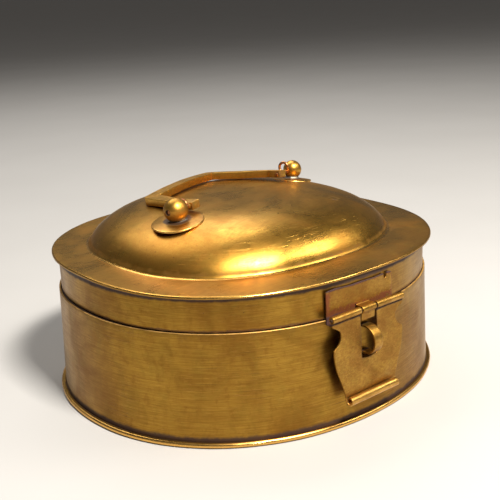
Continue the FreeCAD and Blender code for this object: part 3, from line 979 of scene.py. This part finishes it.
def make_hasp():
    roll = arc(HASP_ROLL, 300.0)
    settle = arc(HASP_ROLL, -60.0)
    plate_top = 2.0 * HASP_ROLL * math.sin(math.radians(60.0))
    plate = (HASP_LENGTH - plate_top, 0.0)
    lip = arc(HASP_LIP, 290.0)
    start_angle = math.radians(-60.0)
    start = (HASP_ROLL * math.cos(start_angle), HASP_ROLL * math.sin(start_angle))
    path, length = bent_path(start, 30.0, [roll, settle, plate, lip])
    down = roll[0] + settle[0] - plate_top      # path length minus depth below the pin

    side = [Vector((p.x, p.y + down)) for p in hasp_side()]
    right = slot_corner(HASP_CLEAR, SLOT_DEPTH + down, SLOT_CORNER)
    right += [Vector((HASP_CLEAR, 0.0)), Vector((HASP_HALF, 0.0))] + side
    right.append(Vector((HASP_LIP_HALF, length)))
    lean = Matrix.Rotation(-HASP_LEAN, 4, "X")
    place = Matrix.Translation((HASP_X, HASP_AXIS_Y, HASP_AXIS_Z)) @ lean

    def lay(x, distance):
        out, up = path(distance)
        depth = distance - down
        on_plate = ease(6.0 * MM, 16.0 * MM, depth)
        warp = 0.35 * MM * wobble((x, depth, 0.0), 17 * MM, 4.0) * on_plate
        above_lip = ease(33 * MM, 41 * MM, depth) * fade(41 * MM, 46 * MM, depth)
        bulge = 0.9 * MM * above_lip * ease(-4 * MM, 7 * MM, x) * fade(9 * MM, 17 * MM, x)
        return place @ Vector((x, -(out + warp + bulge), up))

    outline = right + mirrored(right)
    mesh = sheet_mesh("hasp_sheet", [outline], (2.2 * MM, 0.42 * MM), lay, HASP_SHEET, 0.2 * MM)
    piece = new_piece("hasp_sheet", mesh, "hasp", "fitting_brass", ["hasp_plate"])
    back = place.inverted()

    # Painted highlight and wear on the curled lip and along the roll.
    def edge(point):
        local = back @ point
        return 0.5 * ease(44.5 * MM, 46 * MM, -local.z) + 0.35 * fade(1.2 * MM, 2.2 * MM, abs(local.z))

    # Painted shade in the crease below the roll and round the slot.
    def grime(point):
        local = back @ point
        groove = fade(0.3 * MM, 1.3 * MM, abs(-local.z - 2.3 * MM))
        beside = fade(HASP_CLEAR, HASP_CLEAR + 2.2 * MM, abs(local.x))
        slot_edge = 0.45 * beside * fade(SLOT_DEPTH, SLOT_DEPTH + 2.2 * MM, -local.z)
        return 0.8 * groove + slot_edge

    paint(piece, "edge", edge)
    paint(piece, "grime", grime)
    return piece


def make_hasp_leaf():
    """A plate on the skirt; a tongue cut from it goes over the pin and hangs in front."""
    middle = grown(SKIRT, HASP_SHEET / 2.0)
    reach_in = middle[1] + HASP_AXIS_Y          # negative: the plate lies behind the pin
    top_z = leaf_high.z - 0.2 * MM
    bend_z = HASP_AXIS_Z + HASP_ROLL + LEAF_BEND
    straight = top_z - bend_z
    parts = [
        (straight, 0.0),
        arc(LEAF_BEND, 90.0),
        (-reach_in - LEAF_BEND, 0.0),
        arc(HASP_ROLL, -150.0),
        arc(1.5 * MM, 56.0),
        (TONGUE_TAIL, 0.0),
    ]
    path, length = bent_path((reach_in, top_z - HASP_AXIS_Z), 270.0, parts)
    tongue = TONGUE_HALF
    slit = TONGUE_SLIT
    foot = top_z - leaf_low.z - 0.2 * MM
    left_half = HASP_X - leaf_low.x
    right_half = leaf_high.x - HASP_X
    right = [
        Vector((tongue, length)), Vector((tongue, straight)),
        Vector((tongue + slit, straight)), Vector((tongue + slit, foot)),
        Vector((right_half - 0.3 * MM, foot - 0.2 * MM)), Vector((right_half, foot - 0.8 * MM)),
        Vector((right_half, 6.5 * MM)), Vector((right_half - 0.2 * MM, 1.0 * MM)),
        Vector((right_half - 1.2 * MM, 0.3 * MM)), Vector((19.6 * MM, 0.1 * MM)),
        Vector((18.6 * MM, 2.9 * MM)), Vector((16.9 * MM, 3.3 * MM)), Vector((16.4 * MM, 0.2 * MM)),
        Vector((9.0 * MM, 0.5 * MM)), Vector((0.0, 0.1 * MM)),
    ]
    left = [
        Vector((-10.0 * MM, 0.4 * MM)), Vector((-19.0 * MM, 0.0)), Vector((0.6 * MM - left_half, 0.5 * MM)),
        Vector((-left_half, 1.2 * MM)), Vector((0.2 * MM - left_half, 8.0 * MM)),
        Vector((-left_half, foot - 3.6 * MM)), Vector((0.6 * MM - left_half, foot - 3.0 * MM)),
        Vector((4.0 * MM - left_half, foot - 1.2 * MM)), Vector((8.0 * MM - left_half, foot)),
        Vector((-tongue - slit, foot)), Vector((-tongue - slit, straight)), Vector((-tongue, straight)),
        Vector((-tongue, length)),
    ]

    def lay(x, distance):
        out, up = path(distance)
        beside = abs(x) > tongue + slit / 2.0 and distance > straight
        if beside:
            out, up = reach_in, top_z - HASP_AXIS_Z - distance
        across = x + HASP_X
        sweep = middle[1] - outline_y(middle, across)
        lift = 0.8 * MM * ease(17 * MM, 25 * MM, -x) + 0.3 * MM * ease(18 * MM, 23 * MM, x)
        lift += 0.2 * MM * (0.6 + wobble((x, distance, 0.0), 9 * MM, 6.0))
        on_plate = 1.0 if beside else fade(straight, straight + 1 * MM, distance)
        out += (lift - sweep) * on_plate
        return Vector((across, HASP_AXIS_Y - out, HASP_AXIS_Z + up))

    mesh = sheet_mesh("hasp_leaf_sheet", [right + left], (2.0 * MM, 0.45 * MM), lay, HASP_SHEET, 0.2 * MM)
    piece = new_piece("hasp_leaf_sheet", mesh, "lid", "fitting_brass", ["hasp_leaf"])

    def flux(point):
        x = abs(point.x - HASP_X)
        sides = ease(20.5 * MM, 24.0 * MM, x)
        top = 0.8 * ease(top_z - 2.4 * MM, top_z - 0.3 * MM, point.z)
        bottom = fade(HASP_AXIS_Z + 2.0 * MM, HASP_AXIS_Z + 5.0 * MM, point.z)
        on_tongue = x < tongue + 0.2 * MM and point.z < bend_z
        return 0.05 if on_tongue else max(sides, top, bottom) * 0.62 + 0.16

    # Real tarnish along the top edge, and painted shade on the parts behind the pin near the seam.
    def grime(point):
        low_down = fade(SEAM_Z + 0.5 * MM, SEAM_Z + 4.5 * MM, point.z)
        behind = 0.8 * low_down * float(point.y > HASP_AXIS_Y)
        return ease(top_z - 1.6 * MM, top_z - 0.2 * MM, point.z) + behind

    paint(piece, "flux", flux)
    paint(piece, "grime", grime)
    return piece


def make_hasp_pin():
    radius = (hasp_pin_high.z - hasp_pin_low.z) / 2.0
    length = hasp_pin_high.x - hasp_pin_low.x
    end = length / 2.0
    profile = [(0.0, -end), (radius * 0.7, -end + 0.05 * MM), (radius, 0.3 * MM - end)]
    profile += [(radius, length * step / 20) for step in range(-9, 10)]
    profile += [(radius, end - 0.3 * MM), (radius * 0.7, end - 0.05 * MM), (0.0, end)]
    place = Matrix.Translation((HASP_X, HASP_AXIS_Y, HASP_AXIS_Z)) @ Matrix.Rotation(math.pi / 2.0, 4, "Y")
    mesh = lathe_mesh("hasp_pin_rod", profile, 28, place)
    piece = new_piece("hasp_pin_rod", mesh, "lid", "fitting_brass", ["hasp_pin"])
    # Darkens the whole pin.
    paint(piece, "grime", lambda p: 0.8)
    return piece


def make_staple():
    """A strip bent into a half loop, with its ends at the wall."""
    z = (staple_low.z + staple_high.z) / 2.0
    half_height = (staple_high.z - staple_low.z) / 2.0
    middle_r = half_height - STAPLE_STRIP / 2.0
    wall = -body_outline(z)[1]
    straight = (wall - staple_low.y) - half_height
    path, length = bent_path(
        (wall + 0.4 * MM, z - middle_r), 180.0,
        [(straight + 0.4 * MM, 0.0), arc(middle_r, -180.0), (straight + 0.4 * MM, 0.0)])
    half = (staple_high.x - staple_low.x) / 2.0
    outline = [Vector((-half, 0.0)), Vector((half, 0.0)), Vector((half, length)), Vector((-half, length))]

    def lay(x, distance):
        y, up = path(distance)
        uneven = 1.0 - 0.035 * (1.0 + wobble((x * 0.3, distance, 0.0), 6 * MM, 3.0))
        return Vector((HASP_X + x * uneven, y, up))

    mesh = sheet_mesh("staple_strip", [outline], (1.0 * MM, 0.7 * MM), lay, STAPLE_STRIP, 0.25 * MM)
    piece = new_piece("staple_strip", mesh, "body", "fitting_brass", ["staple"])
    # Painted highlight and wear on the front of the loop; painted shade where the strip meets the wall.
    paint(piece, "edge", lambda p: 0.5 * ease(wall - 9 * MM, wall - 12 * MM, p.y) if p.y < wall else 0.0)
    paint(piece, "grime", lambda p: fade(0.6 * MM, 3.0 * MM, wall - p.y))
    return piece


# ---- back hinge -----------------------------------------------------------------------
def make_back_leaf(name, node, body, upper):
    """A leaf on the wall or skirt that turns out and rolls round the hinge pin."""
    sign = 1.0 if upper else -1.0
    plate_y = SKIRT[1] if upper else body_outline(SEAM_Z - 8 * MM)[1]
    reach_in = plate_y + BACK_SHEET / 2.0 - HINGE_AXIS_Y
    tall = (upper_high.z - SEAM_Z) if upper else (SEAM_Z - back_low.z)
    straight = tall - BACK_ROLL - BACK_BEND
    parts = [
        (straight, 0.0), arc(BACK_BEND, 90.0), (-reach_in - BACK_BEND, 0.0), arc(BACK_ROLL, -295.0)]
    path, length = bent_path((reach_in, tall), 270.0, parts)
    half = back_high.x
    corner = 1.0 * MM
    knuckle = BACK_KNUCKLE if upper else BACK_KNUCKLE + KNUCKLE_GAP
    if upper:
        roll = [(knuckle, length), (knuckle, straight), (half, straight - 0.2 * MM)]
    else:
        roll = [(knuckle, straight + 1.0 * MM), (knuckle, length), (half, length)]
    right = [Vector(point) for point in roll + [(half, corner), (half - corner, 0.0)]]

    def lay(x, distance):
        out, up = path(distance)
        on_plate = fade(straight - 2 * MM, straight + 0.6 * MM, distance)
        outline = SKIRT if upper else body_outline(SEAM_Z + sign * up)
        sweep = outline[1] - outline_y(outline, x)
        if not upper:
            sweep -= (outline[1] - plate_y) * on_plate
        out -= sweep * on_plate
        return Vector((x, HINGE_AXIS_Y + out, SEAM_Z + sign * up))

    outline = right + mirrored(right)
    mesh = sheet_mesh(name, [outline], (2.0 * MM, 0.5 * MM), lay, BACK_SHEET, 0.22 * MM)
    piece = new_piece(name, mesh, body, "fitting_brass", [node])

    def flux(point):
        far = abs(point.z - SEAM_Z)
        return 0.75 * max(ease(half - 3 * MM, half, abs(point.x)), ease(tall - 3 * MM, tall, far))

    paint(piece, "flux", flux)

    # Painted shade on the front of the knuckles, between the two leaves.
    def grime(point):
        at_knuckles = fade(2.2 * MM, 4.5 * MM, abs(point.z - SEAM_Z))
        return 0.6 * at_knuckles * float(point.y < 109.5 * MM)

    paint(piece, "grime", grime)
    return piece


def make_back_pin():
    radius = 1.15 * MM
    head = (back_pin_high.z - back_pin_low.z) / 2.0
    length = back_pin_high.x - back_pin_low.x
    end = length / 2.0
    half_profile = [
        (0.0, end), (head * 0.6, end - 0.12 * MM), (head, end - 0.55 * MM), (head, end - 0.9 * MM),
        (radius, end - 1.0 * MM)]
    profile = [(across, -along) for across, along in half_profile] + half_profile[::-1]
    place = Matrix.Translation((0.0, HINGE_AXIS_Y, SEAM_Z)) @ Matrix.Rotation(math.pi / 2.0, 4, "Y")
    mesh = lathe_mesh("back_pin_rod", profile, 32, place)
    piece = new_piece("back_pin_rod", mesh, "body", "fitting_brass", ["hinge_pin"])
    paint(piece, "edge", lambda p: 0.4)
    return piece


def make_rivet_heads(name, node, body):
    low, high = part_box(node)
    z = (low.z + high.z) / 2.0
    radius = (high.z - low.z) / 2.0
    rise = RIVET_RISE
    bm = bmesh.new()
    for side in (-1, 1):
        x = side * (high.x - radius)
        profile = [(0.0, rise), (radius * 0.45, rise * 0.95), (radius * 0.8, rise * 0.68),
                   (radius * 0.97, rise * 0.3), (radius, 0.0), (radius, -0.9 * MM), (0.0, -0.9 * MM)]
        place = Matrix.Translation((x, high.y - rise, z)) @ Matrix.Rotation(-math.pi / 2.0, 4, "X")

        def shift(point):
            return Vector((point.x, point.y, 0.0)) * (0.05 * wobble(point, 1.6 * MM, 4.0 + side))

        bm.from_mesh(lathe_mesh("head", profile, 40, place, shift))
    piece = new_piece(name, mesh_from(name, bm), body, "fitting_brass", [node])
    # Painted highlight and wear on the top of each head; painted shade round the foot of each head.
    paint(piece, "edge", lambda p: 0.5 * ease(high.y - 0.5 * MM, high.y, p.y))
    paint(piece, "grime", lambda p: fade(high.y - 1.0 * MM, high.y - 0.4 * MM, p.y))
    return piece


# ---- materials --------------------------------------------------------------------------
class Nodes:
    """Adds and joins the nodes of one material."""

    def __init__(self, name):
        self.material = bpy.data.materials.new(name)
        self.material.use_nodes = True
        self.tree = self.material.node_tree
        self.shader = self.tree.nodes["Principled BSDF"]
        self.place = self.add("ShaderNodeTexCoord").outputs["Object"]

    def add(self, kind, inputs=None, **settings):
        node = self.tree.nodes.new(kind)
        for key, value in settings.items():
            setattr(node, key, value)
        for key, value in (inputs or {}).items():
            self.feed(node.inputs[key], value)
        return node

    def feed(self, socket, value):
        if isinstance(value, bpy.types.NodeSocket):
            self.tree.links.new(value, socket)
        else:
            socket.default_value = value

    def stretched(self, scale, turn=(0.0, 0.0, 0.0)):
        inputs = {"Vector": self.place, "Scale": scale, "Rotation": turn}
        return self.add("ShaderNodeMapping", inputs).outputs["Vector"]

    def noise(self, scale, detail=4.0, rough=0.55, vector=None, swirl=0.0):
        inputs = {"Vector": vector or self.place, "Scale": scale, "Detail": detail,
                  "Roughness": rough, "Distortion": swirl}
        return self.add("ShaderNodeTexNoise", inputs).outputs["Fac"]

    def step(self, value, low, high, start=0.0, end=1.0):
        inputs = {"Value": value, "From Min": low, "From Max": high, "To Min": start, "To Max": end}
        return self.add("ShaderNodeMapRange", inputs, interpolation_type="SMOOTHSTEP").outputs["Result"]

    def math(self, operation, first, second=0.0):
        node = self.add("ShaderNodeMath", {0: first, 1: second}, operation=operation, use_clamp=False)
        return node.outputs["Value"]

    def mask(self, name):
        return self.add("ShaderNodeAttribute", attribute_name=name).outputs["Fac"]

    def mix(self, share, first, second, how="MIX"):
        node = self.add("ShaderNodeMix", data_type="RGBA", blend_type=how)
        self.feed(node.inputs[0], share)
        self.feed(node.inputs[6], first)
        self.feed(node.inputs[7], second)
        return node.outputs[2]

    def bump(self, height, distance, strength, normal=None):
        node = self.add("ShaderNodeBump", {"Height": height, "Distance": distance, "Strength": strength})
        if normal:
            self.feed(node.inputs["Normal"], normal)
        return node.outputs["Normal"]


def colour(red, green, blue):
    return (red, green, blue, 1.0)


def scratches(nodes, turn, length, width, amount):
    """Thin broken lines in one direction: 1 on a line, 0 between them."""
    grain = nodes.noise(1.0, 2.0, 0.5, nodes.stretched((1.0 / length, 1.0 / length, 1.0 / width), turn))
    broken = nodes.noise(38.0, 2.0, 0.5)
    line = nodes.step(grain, 0.70 - amount, 0.74 - amount)
    return nodes.math("MULTIPLY", line, nodes.step(broken, 0.46, 0.60))


def broken_mask(nodes, name, breakup, amount):
    """A painted mask with its border broken up by noise."""
    mask = nodes.mask(name)
    uneven = nodes.math("MULTIPLY", nodes.math("SUBTRACT", breakup, 0.5), amount)
    return nodes.math("ADD", mask, uneven)


def brass(name, gold, brown, olive, rough=0.34, streak=(0.25, 0.25, 1.0), streak_size=0.5 * MM,
          stain_scale=24.0, wear=1.0, dents=0.30, marked=0.6, stain_stretch=(1.0, 1.0, 1.0)):
    """Worn brass with stains, brushing, scratches, red flux, dark grime with painted shade, and bright
    edges with painted highlights.
    """
    nodes = Nodes(name)
    gold, brown, olive = colour(*gold), colour(*brown), colour(*olive)
    # Purple-black, for grime, dark scratches and specks, and for painted shade.
    grime_and_shade_colour = colour(0.030, 0.014, 0.018)
    bright = colour(0.88, 0.50, 0.13)
    copper = colour(0.165, 0.034, 0.012)
    cloth = nodes.stretched(stain_stretch)
    stain = nodes.noise(stain_scale, 5.0, 0.62, cloth, swirl=0.6)
    blotch = nodes.noise(stain_scale * 3.4, 5.0, 0.66, cloth, swirl=0.9)
    tone = nodes.mix(nodes.step(stain, 0.36, 0.70, 0.0, 0.80), gold, brown)
    tone = nodes.mix(nodes.step(blotch, 0.42, 0.68, 0.0, 0.55), tone, olive)
    mottle = nodes.noise(stain_scale * 9.0, 6.0, 0.72, cloth, swirl=0.4)
    tone = nodes.mix(nodes.step(mottle, 0.48, 0.72, 0.0, 0.50), tone, brown)

    reach = 1.0 / streak_size
    scale = tuple(reach * share * share for share in streak)
    brushing = nodes.noise(1.0, 3.0, 0.7, nodes.stretched(scale))
    fine = nodes.noise(1.0, 2.0, 0.6, nodes.stretched(tuple(3.1 * s for s in scale)))
    tone = nodes.mix(nodes.step(brushing, 0.34, 0.70, 0.0, 0.60), tone, brown)
    tone = nodes.mix(nodes.step(fine, 0.56, 0.74, 0.0, 0.20 * wear), tone, bright)

    lines = scratches(nodes, (0.5, 0.2, 0.9), 26 * MM, 0.22 * MM, 0.03)
    more = scratches(nodes, (1.3, -0.4, 0.2), 22 * MM, 0.24 * MM, 0.03)
    dark_line = nodes.math("MULTIPLY", lines, marked)
    light_line = nodes.math("MULTIPLY", more, 0.4 * marked)
    tone = nodes.mix(dark_line, tone, grime_and_shade_colour)
    tone = nodes.mix(light_line, tone, bright)

    speck = nodes.noise(900.0, 2.0, 0.5)
    spotted = nodes.math("MULTIPLY", nodes.step(speck, 0.70, 0.76), nodes.step(stain, 0.44, 0.60))
    tone = nodes.mix(nodes.math("MULTIPLY", spotted, 0.7), tone, grime_and_shade_colour)

    breakup = nodes.noise(160.0, 5.0, 0.65)
    patchy = nodes.noise(260.0, 6.0, 0.72, swirl=0.8)
    uneven_flux = nodes.math("MULTIPLY", nodes.math("SUBTRACT", patchy, 0.56), 2.6)
    flux = nodes.step(nodes.math("ADD", nodes.mask("flux"), uneven_flux), 0.22, 0.66)
    tone = nodes.mix(nodes.math("MULTIPLY", flux, 0.85), tone, copper)
    # Painted shade and grime: this mask darkens creases, undersides, holes and places where parts meet, as
    # well as real tarnish and dirt.
    grime = nodes.step(broken_mask(nodes, "grime", breakup, 0.9), 0.25, 0.85)
    tone = nodes.mix(nodes.math("MULTIPLY", grime, 0.88), tone, grime_and_shade_colour)
    # Painted highlight and wear: this mask lightens rims, creases and edges that catch the light, as well
    # as edges rubbed bright.
    edge = nodes.step(broken_mask(nodes, "edge", breakup, 0.7), 0.22, 0.75)
    tone = nodes.mix(nodes.math("MULTIPLY", edge, 0.75), tone, bright)
    nodes.feed(nodes.shader.inputs["Base Color"], tone)

    gloss = nodes.step(stain, 0.30, 0.75, rough - 0.07, rough + 0.10)
    gloss = nodes.math("ADD", gloss, nodes.math("MULTIPLY", nodes.math("SUBTRACT", brushing, 0.5), 0.22))
    gloss = nodes.math("ADD", gloss, nodes.math("MULTIPLY", nodes.math("ADD", grime, flux), 0.18))
    gloss = nodes.math("SUBTRACT", gloss, nodes.math("MULTIPLY", edge, 0.10))
    nodes.feed(nodes.shader.inputs["Roughness"], gloss)
    dull = nodes.math("ADD", nodes.math("MULTIPLY", grime, 0.45), nodes.math("MULTIPLY", flux, 0.40))
    nodes.feed(nodes.shader.inputs["Metallic"], nodes.math("SUBTRACT", 1.0, dull))

    uneven = nodes.noise(34.0, 2.0, 0.5)
    normal = nodes.bump(uneven, 1.4 * MM, dents)
    normal = nodes.bump(brushing, 0.05 * MM, 0.5, normal)
    normal = nodes.bump(nodes.math("SUBTRACT", 1.0, nodes.math("ADD", lines, more)), 0.04 * MM, 0.6, normal)
    normal = nodes.bump(breakup, 0.12 * MM, 0.25, normal)
    nodes.feed(nodes.shader.inputs["Normal"], normal)
    return nodes.material


# Painted shade: the same brass as the lid's, with its colours made darker for the sides of the box.
def body_brass():
    return brass("body_brass", (0.40, 0.225, 0.034), (0.20, 0.086, 0.013), (0.26, 0.160, 0.025),
                 rough=0.38, streak=(0.16, 0.16, 1.0), marked=0.75, stain_stretch=(1.0, 1.0, 0.75))


def lid_brass():
    return brass("lid_brass", (0.60, 0.335, 0.056), (0.36, 0.155, 0.022), (0.44, 0.265, 0.042),
                 rough=0.33, streak=(0.16, 0.9, 1.0), marked=0.22)


def fitting_brass():
    return brass("fitting_brass", (0.44, 0.245, 0.044), (0.24, 0.102, 0.020), (0.31, 0.190, 0.034),
                 rough=0.45, streak=(0.5, 0.5, 0.7), stain_scale=60.0, dents=0.15)


def handle_brass():
    return brass("handle_brass", (0.68, 0.390, 0.070), (0.38, 0.165, 0.028), (0.50, 0.300, 0.050),
                 rough=0.40, streak=(0.4, 0.4, 0.7), stain_scale=70.0, dents=0.12, marked=0.3)


def rosette_brass():
    return brass("rosette_brass", (0.54, 0.300, 0.054), (0.36, 0.155, 0.034), (0.42, 0.255, 0.050),
                 rough=0.38, streak=(0.5, 0.5, 0.5), stain_scale=80.0, dents=0.12, marked=0.3)


def wire_copper():
    return brass("wire_copper", (0.56, 0.250, 0.095), (0.38, 0.130, 0.050), (0.46, 0.220, 0.085),
                 rough=0.33, streak=(0.5, 0.5, 0.5), stain_scale=120.0, dents=0.08)


def grey_solder():
    nodes = Nodes("grey_solder")
    patch = nodes.noise(320.0, 4.0, 0.6)
    fine = nodes.noise(1500.0, 3.0, 0.6)
    tone = nodes.mix(nodes.step(patch, 0.35, 0.65), colour(0.17, 0.17, 0.16), colour(0.30, 0.24, 0.16))
    tone = nodes.mix(nodes.step(fine, 0.55, 0.75, 0.0, 0.6), tone, colour(0.50, 0.50, 0.47))
    nodes.feed(nodes.shader.inputs["Base Color"], tone)
    nodes.shader.inputs["Metallic"].default_value = 0.85
    nodes.feed(nodes.shader.inputs["Roughness"], nodes.step(patch, 0.3, 0.7, 0.34, 0.60))
    normal = nodes.bump(patch, 0.35 * MM, 0.5)
    nodes.feed(nodes.shader.inputs["Normal"], nodes.bump(fine, 0.06 * MM, 0.5, normal))
    return nodes.material


def dress(pieces):
    """Gives each piece the material of its slot, and the solder its own."""
    made = {
        "body_brass": body_brass(),
        "lid_brass": lid_brass(),
        "fitting_brass": fitting_brass(),
        "handle_brass": handle_brass(),
        "rosette_brass": rosette_brass(),
        "wire_copper": wire_copper(),
    }
    solder = grey_solder()
    for piece in pieces:
        is_solder = piece.name.startswith("solder")
        chosen = solder if is_solder else made[piece["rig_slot"]]
        piece.data.materials.clear()
        piece.data.materials.append(chosen)


# ---- studio ---------------------------------------------------------------------------
def make_camera():
    """A camera at the viewing angle of a person who looks down at the front corner."""
    turn, rise, roll = CAMERA_TURN, CAMERA_RISE, CAMERA_ROLL
    back = Vector((math.sin(turn) * math.cos(rise), -math.cos(turn) * math.cos(rise), math.sin(rise)))
    right = Vector((math.cos(turn), math.sin(turn), 0.0))
    up = back.cross(right)
    rolled_right = math.cos(roll) * right + math.sin(roll) * up
    rolled_up = -math.sin(roll) * right + math.cos(roll) * up
    data = bpy.data.cameras.new("camera")
    data.sensor_width = 36.0
    data.lens = CAMERA_LENS
    data.clip_start = 0.01
    data.clip_end = 200.0
    camera = bpy.data.objects.new("camera", data)
    bpy.context.scene.collection.objects.link(camera)
    basis = Matrix((rolled_right, rolled_up, back)).transposed().to_4x4()
    place = CAMERA_ACROSS * rolled_right + CAMERA_UP * rolled_up + CAMERA_DISTANCE * back
    camera.matrix_world = Matrix.Translation(place) @ basis
    bpy.context.scene.camera = camera


def make_floor():
    bm = bmesh.new()
    bmesh.ops.create_circle(bm, cap_ends=True, segments=96, radius=40.0)
    mesh = bpy.data.meshes.new("floor")
    bm.to_mesh(mesh)
    bm.free()
    floor = bpy.data.objects.new("floor", mesh)
    bpy.context.scene.collection.objects.link(floor)
    nodes = Nodes("pale_floor")
    cloud = nodes.noise(6.0, 3.0, 0.5)
    nodes.feed(nodes.shader.inputs["Base Color"],
               nodes.mix(cloud, colour(0.40, 0.385, 0.365), colour(0.44, 0.425, 0.405)))
    nodes.shader.inputs["Roughness"].default_value = 0.8
    mesh.materials.append(nodes.material)


def make_light(name, place, target, size, power, tint=(1.0, 1.0, 1.0)):
    data = bpy.data.lights.new(name, "AREA")
    data.shape = "RECTANGLE"
    data.size, data.size_y = size
    data.energy = power
    data.color = tint
    light = bpy.data.objects.new(name, data)
    light.location = place
    light.rotation_euler = (Vector(target) - Vector(place)).to_track_quat("-Z", "Y").to_euler()
    bpy.context.scene.collection.objects.link(light)


def make_studio():
    make_floor()
    middle = (0.0, 0.0, 0.06)
    make_light("key_softbox", (-0.03, -0.74, 1.08), middle, (0.30, 0.20), 36.0, (1.0, 0.97, 0.92))
    make_light("fill_softbox", (0.75, -0.65, 0.95), middle, (0.45, 0.35), 5.0, (1.0, 0.97, 0.92))
    make_light("top_softbox", (0.2, 0.9, 1.4), middle, (1.4, 0.9), 16.0, (1.0, 0.98, 0.95))
    bpy.context.scene.view_settings.view_transform = "Standard"
    world = bpy.data.worlds.new("studio")
    bpy.context.scene.world = world
    world.use_nodes = True
    backdrop = world.node_tree.nodes["Background"]
    backdrop.inputs["Color"].default_value = colour(0.42, 0.40, 0.38)
    backdrop.inputs["Strength"].default_value = 0.28


# ---- build ------------------------------------------------------------------------------
make_camera()
made_pieces = [make_wall(), make_base(), make_collar(), make_lid(), make_skirt()]
for post_side in (NEAR, FAR):
    made_pieces += [
        make_rosette(post_side), make_ball(post_side), make_solder(post_side),
        make_peened_end(post_side), make_pivot_wire(post_side)]
made_pieces += [make_handle(), make_hasp(), make_hasp_leaf(), make_hasp_pin(), make_staple()]
made_pieces += [
    make_back_leaf("back_leaf_lower", "hinge_body_leaf", "body", False),
    make_back_leaf("back_leaf_upper", "hinge_lid_leaf", "lid", True),
    make_back_pin(),
    make_rivet_heads("back_rivets_lower", "hinge_body_rivets", "body"),
    make_rivet_heads("back_rivets_upper", "hinge_lid_rivets", "lid")]
dress(made_pieces)
make_studio()
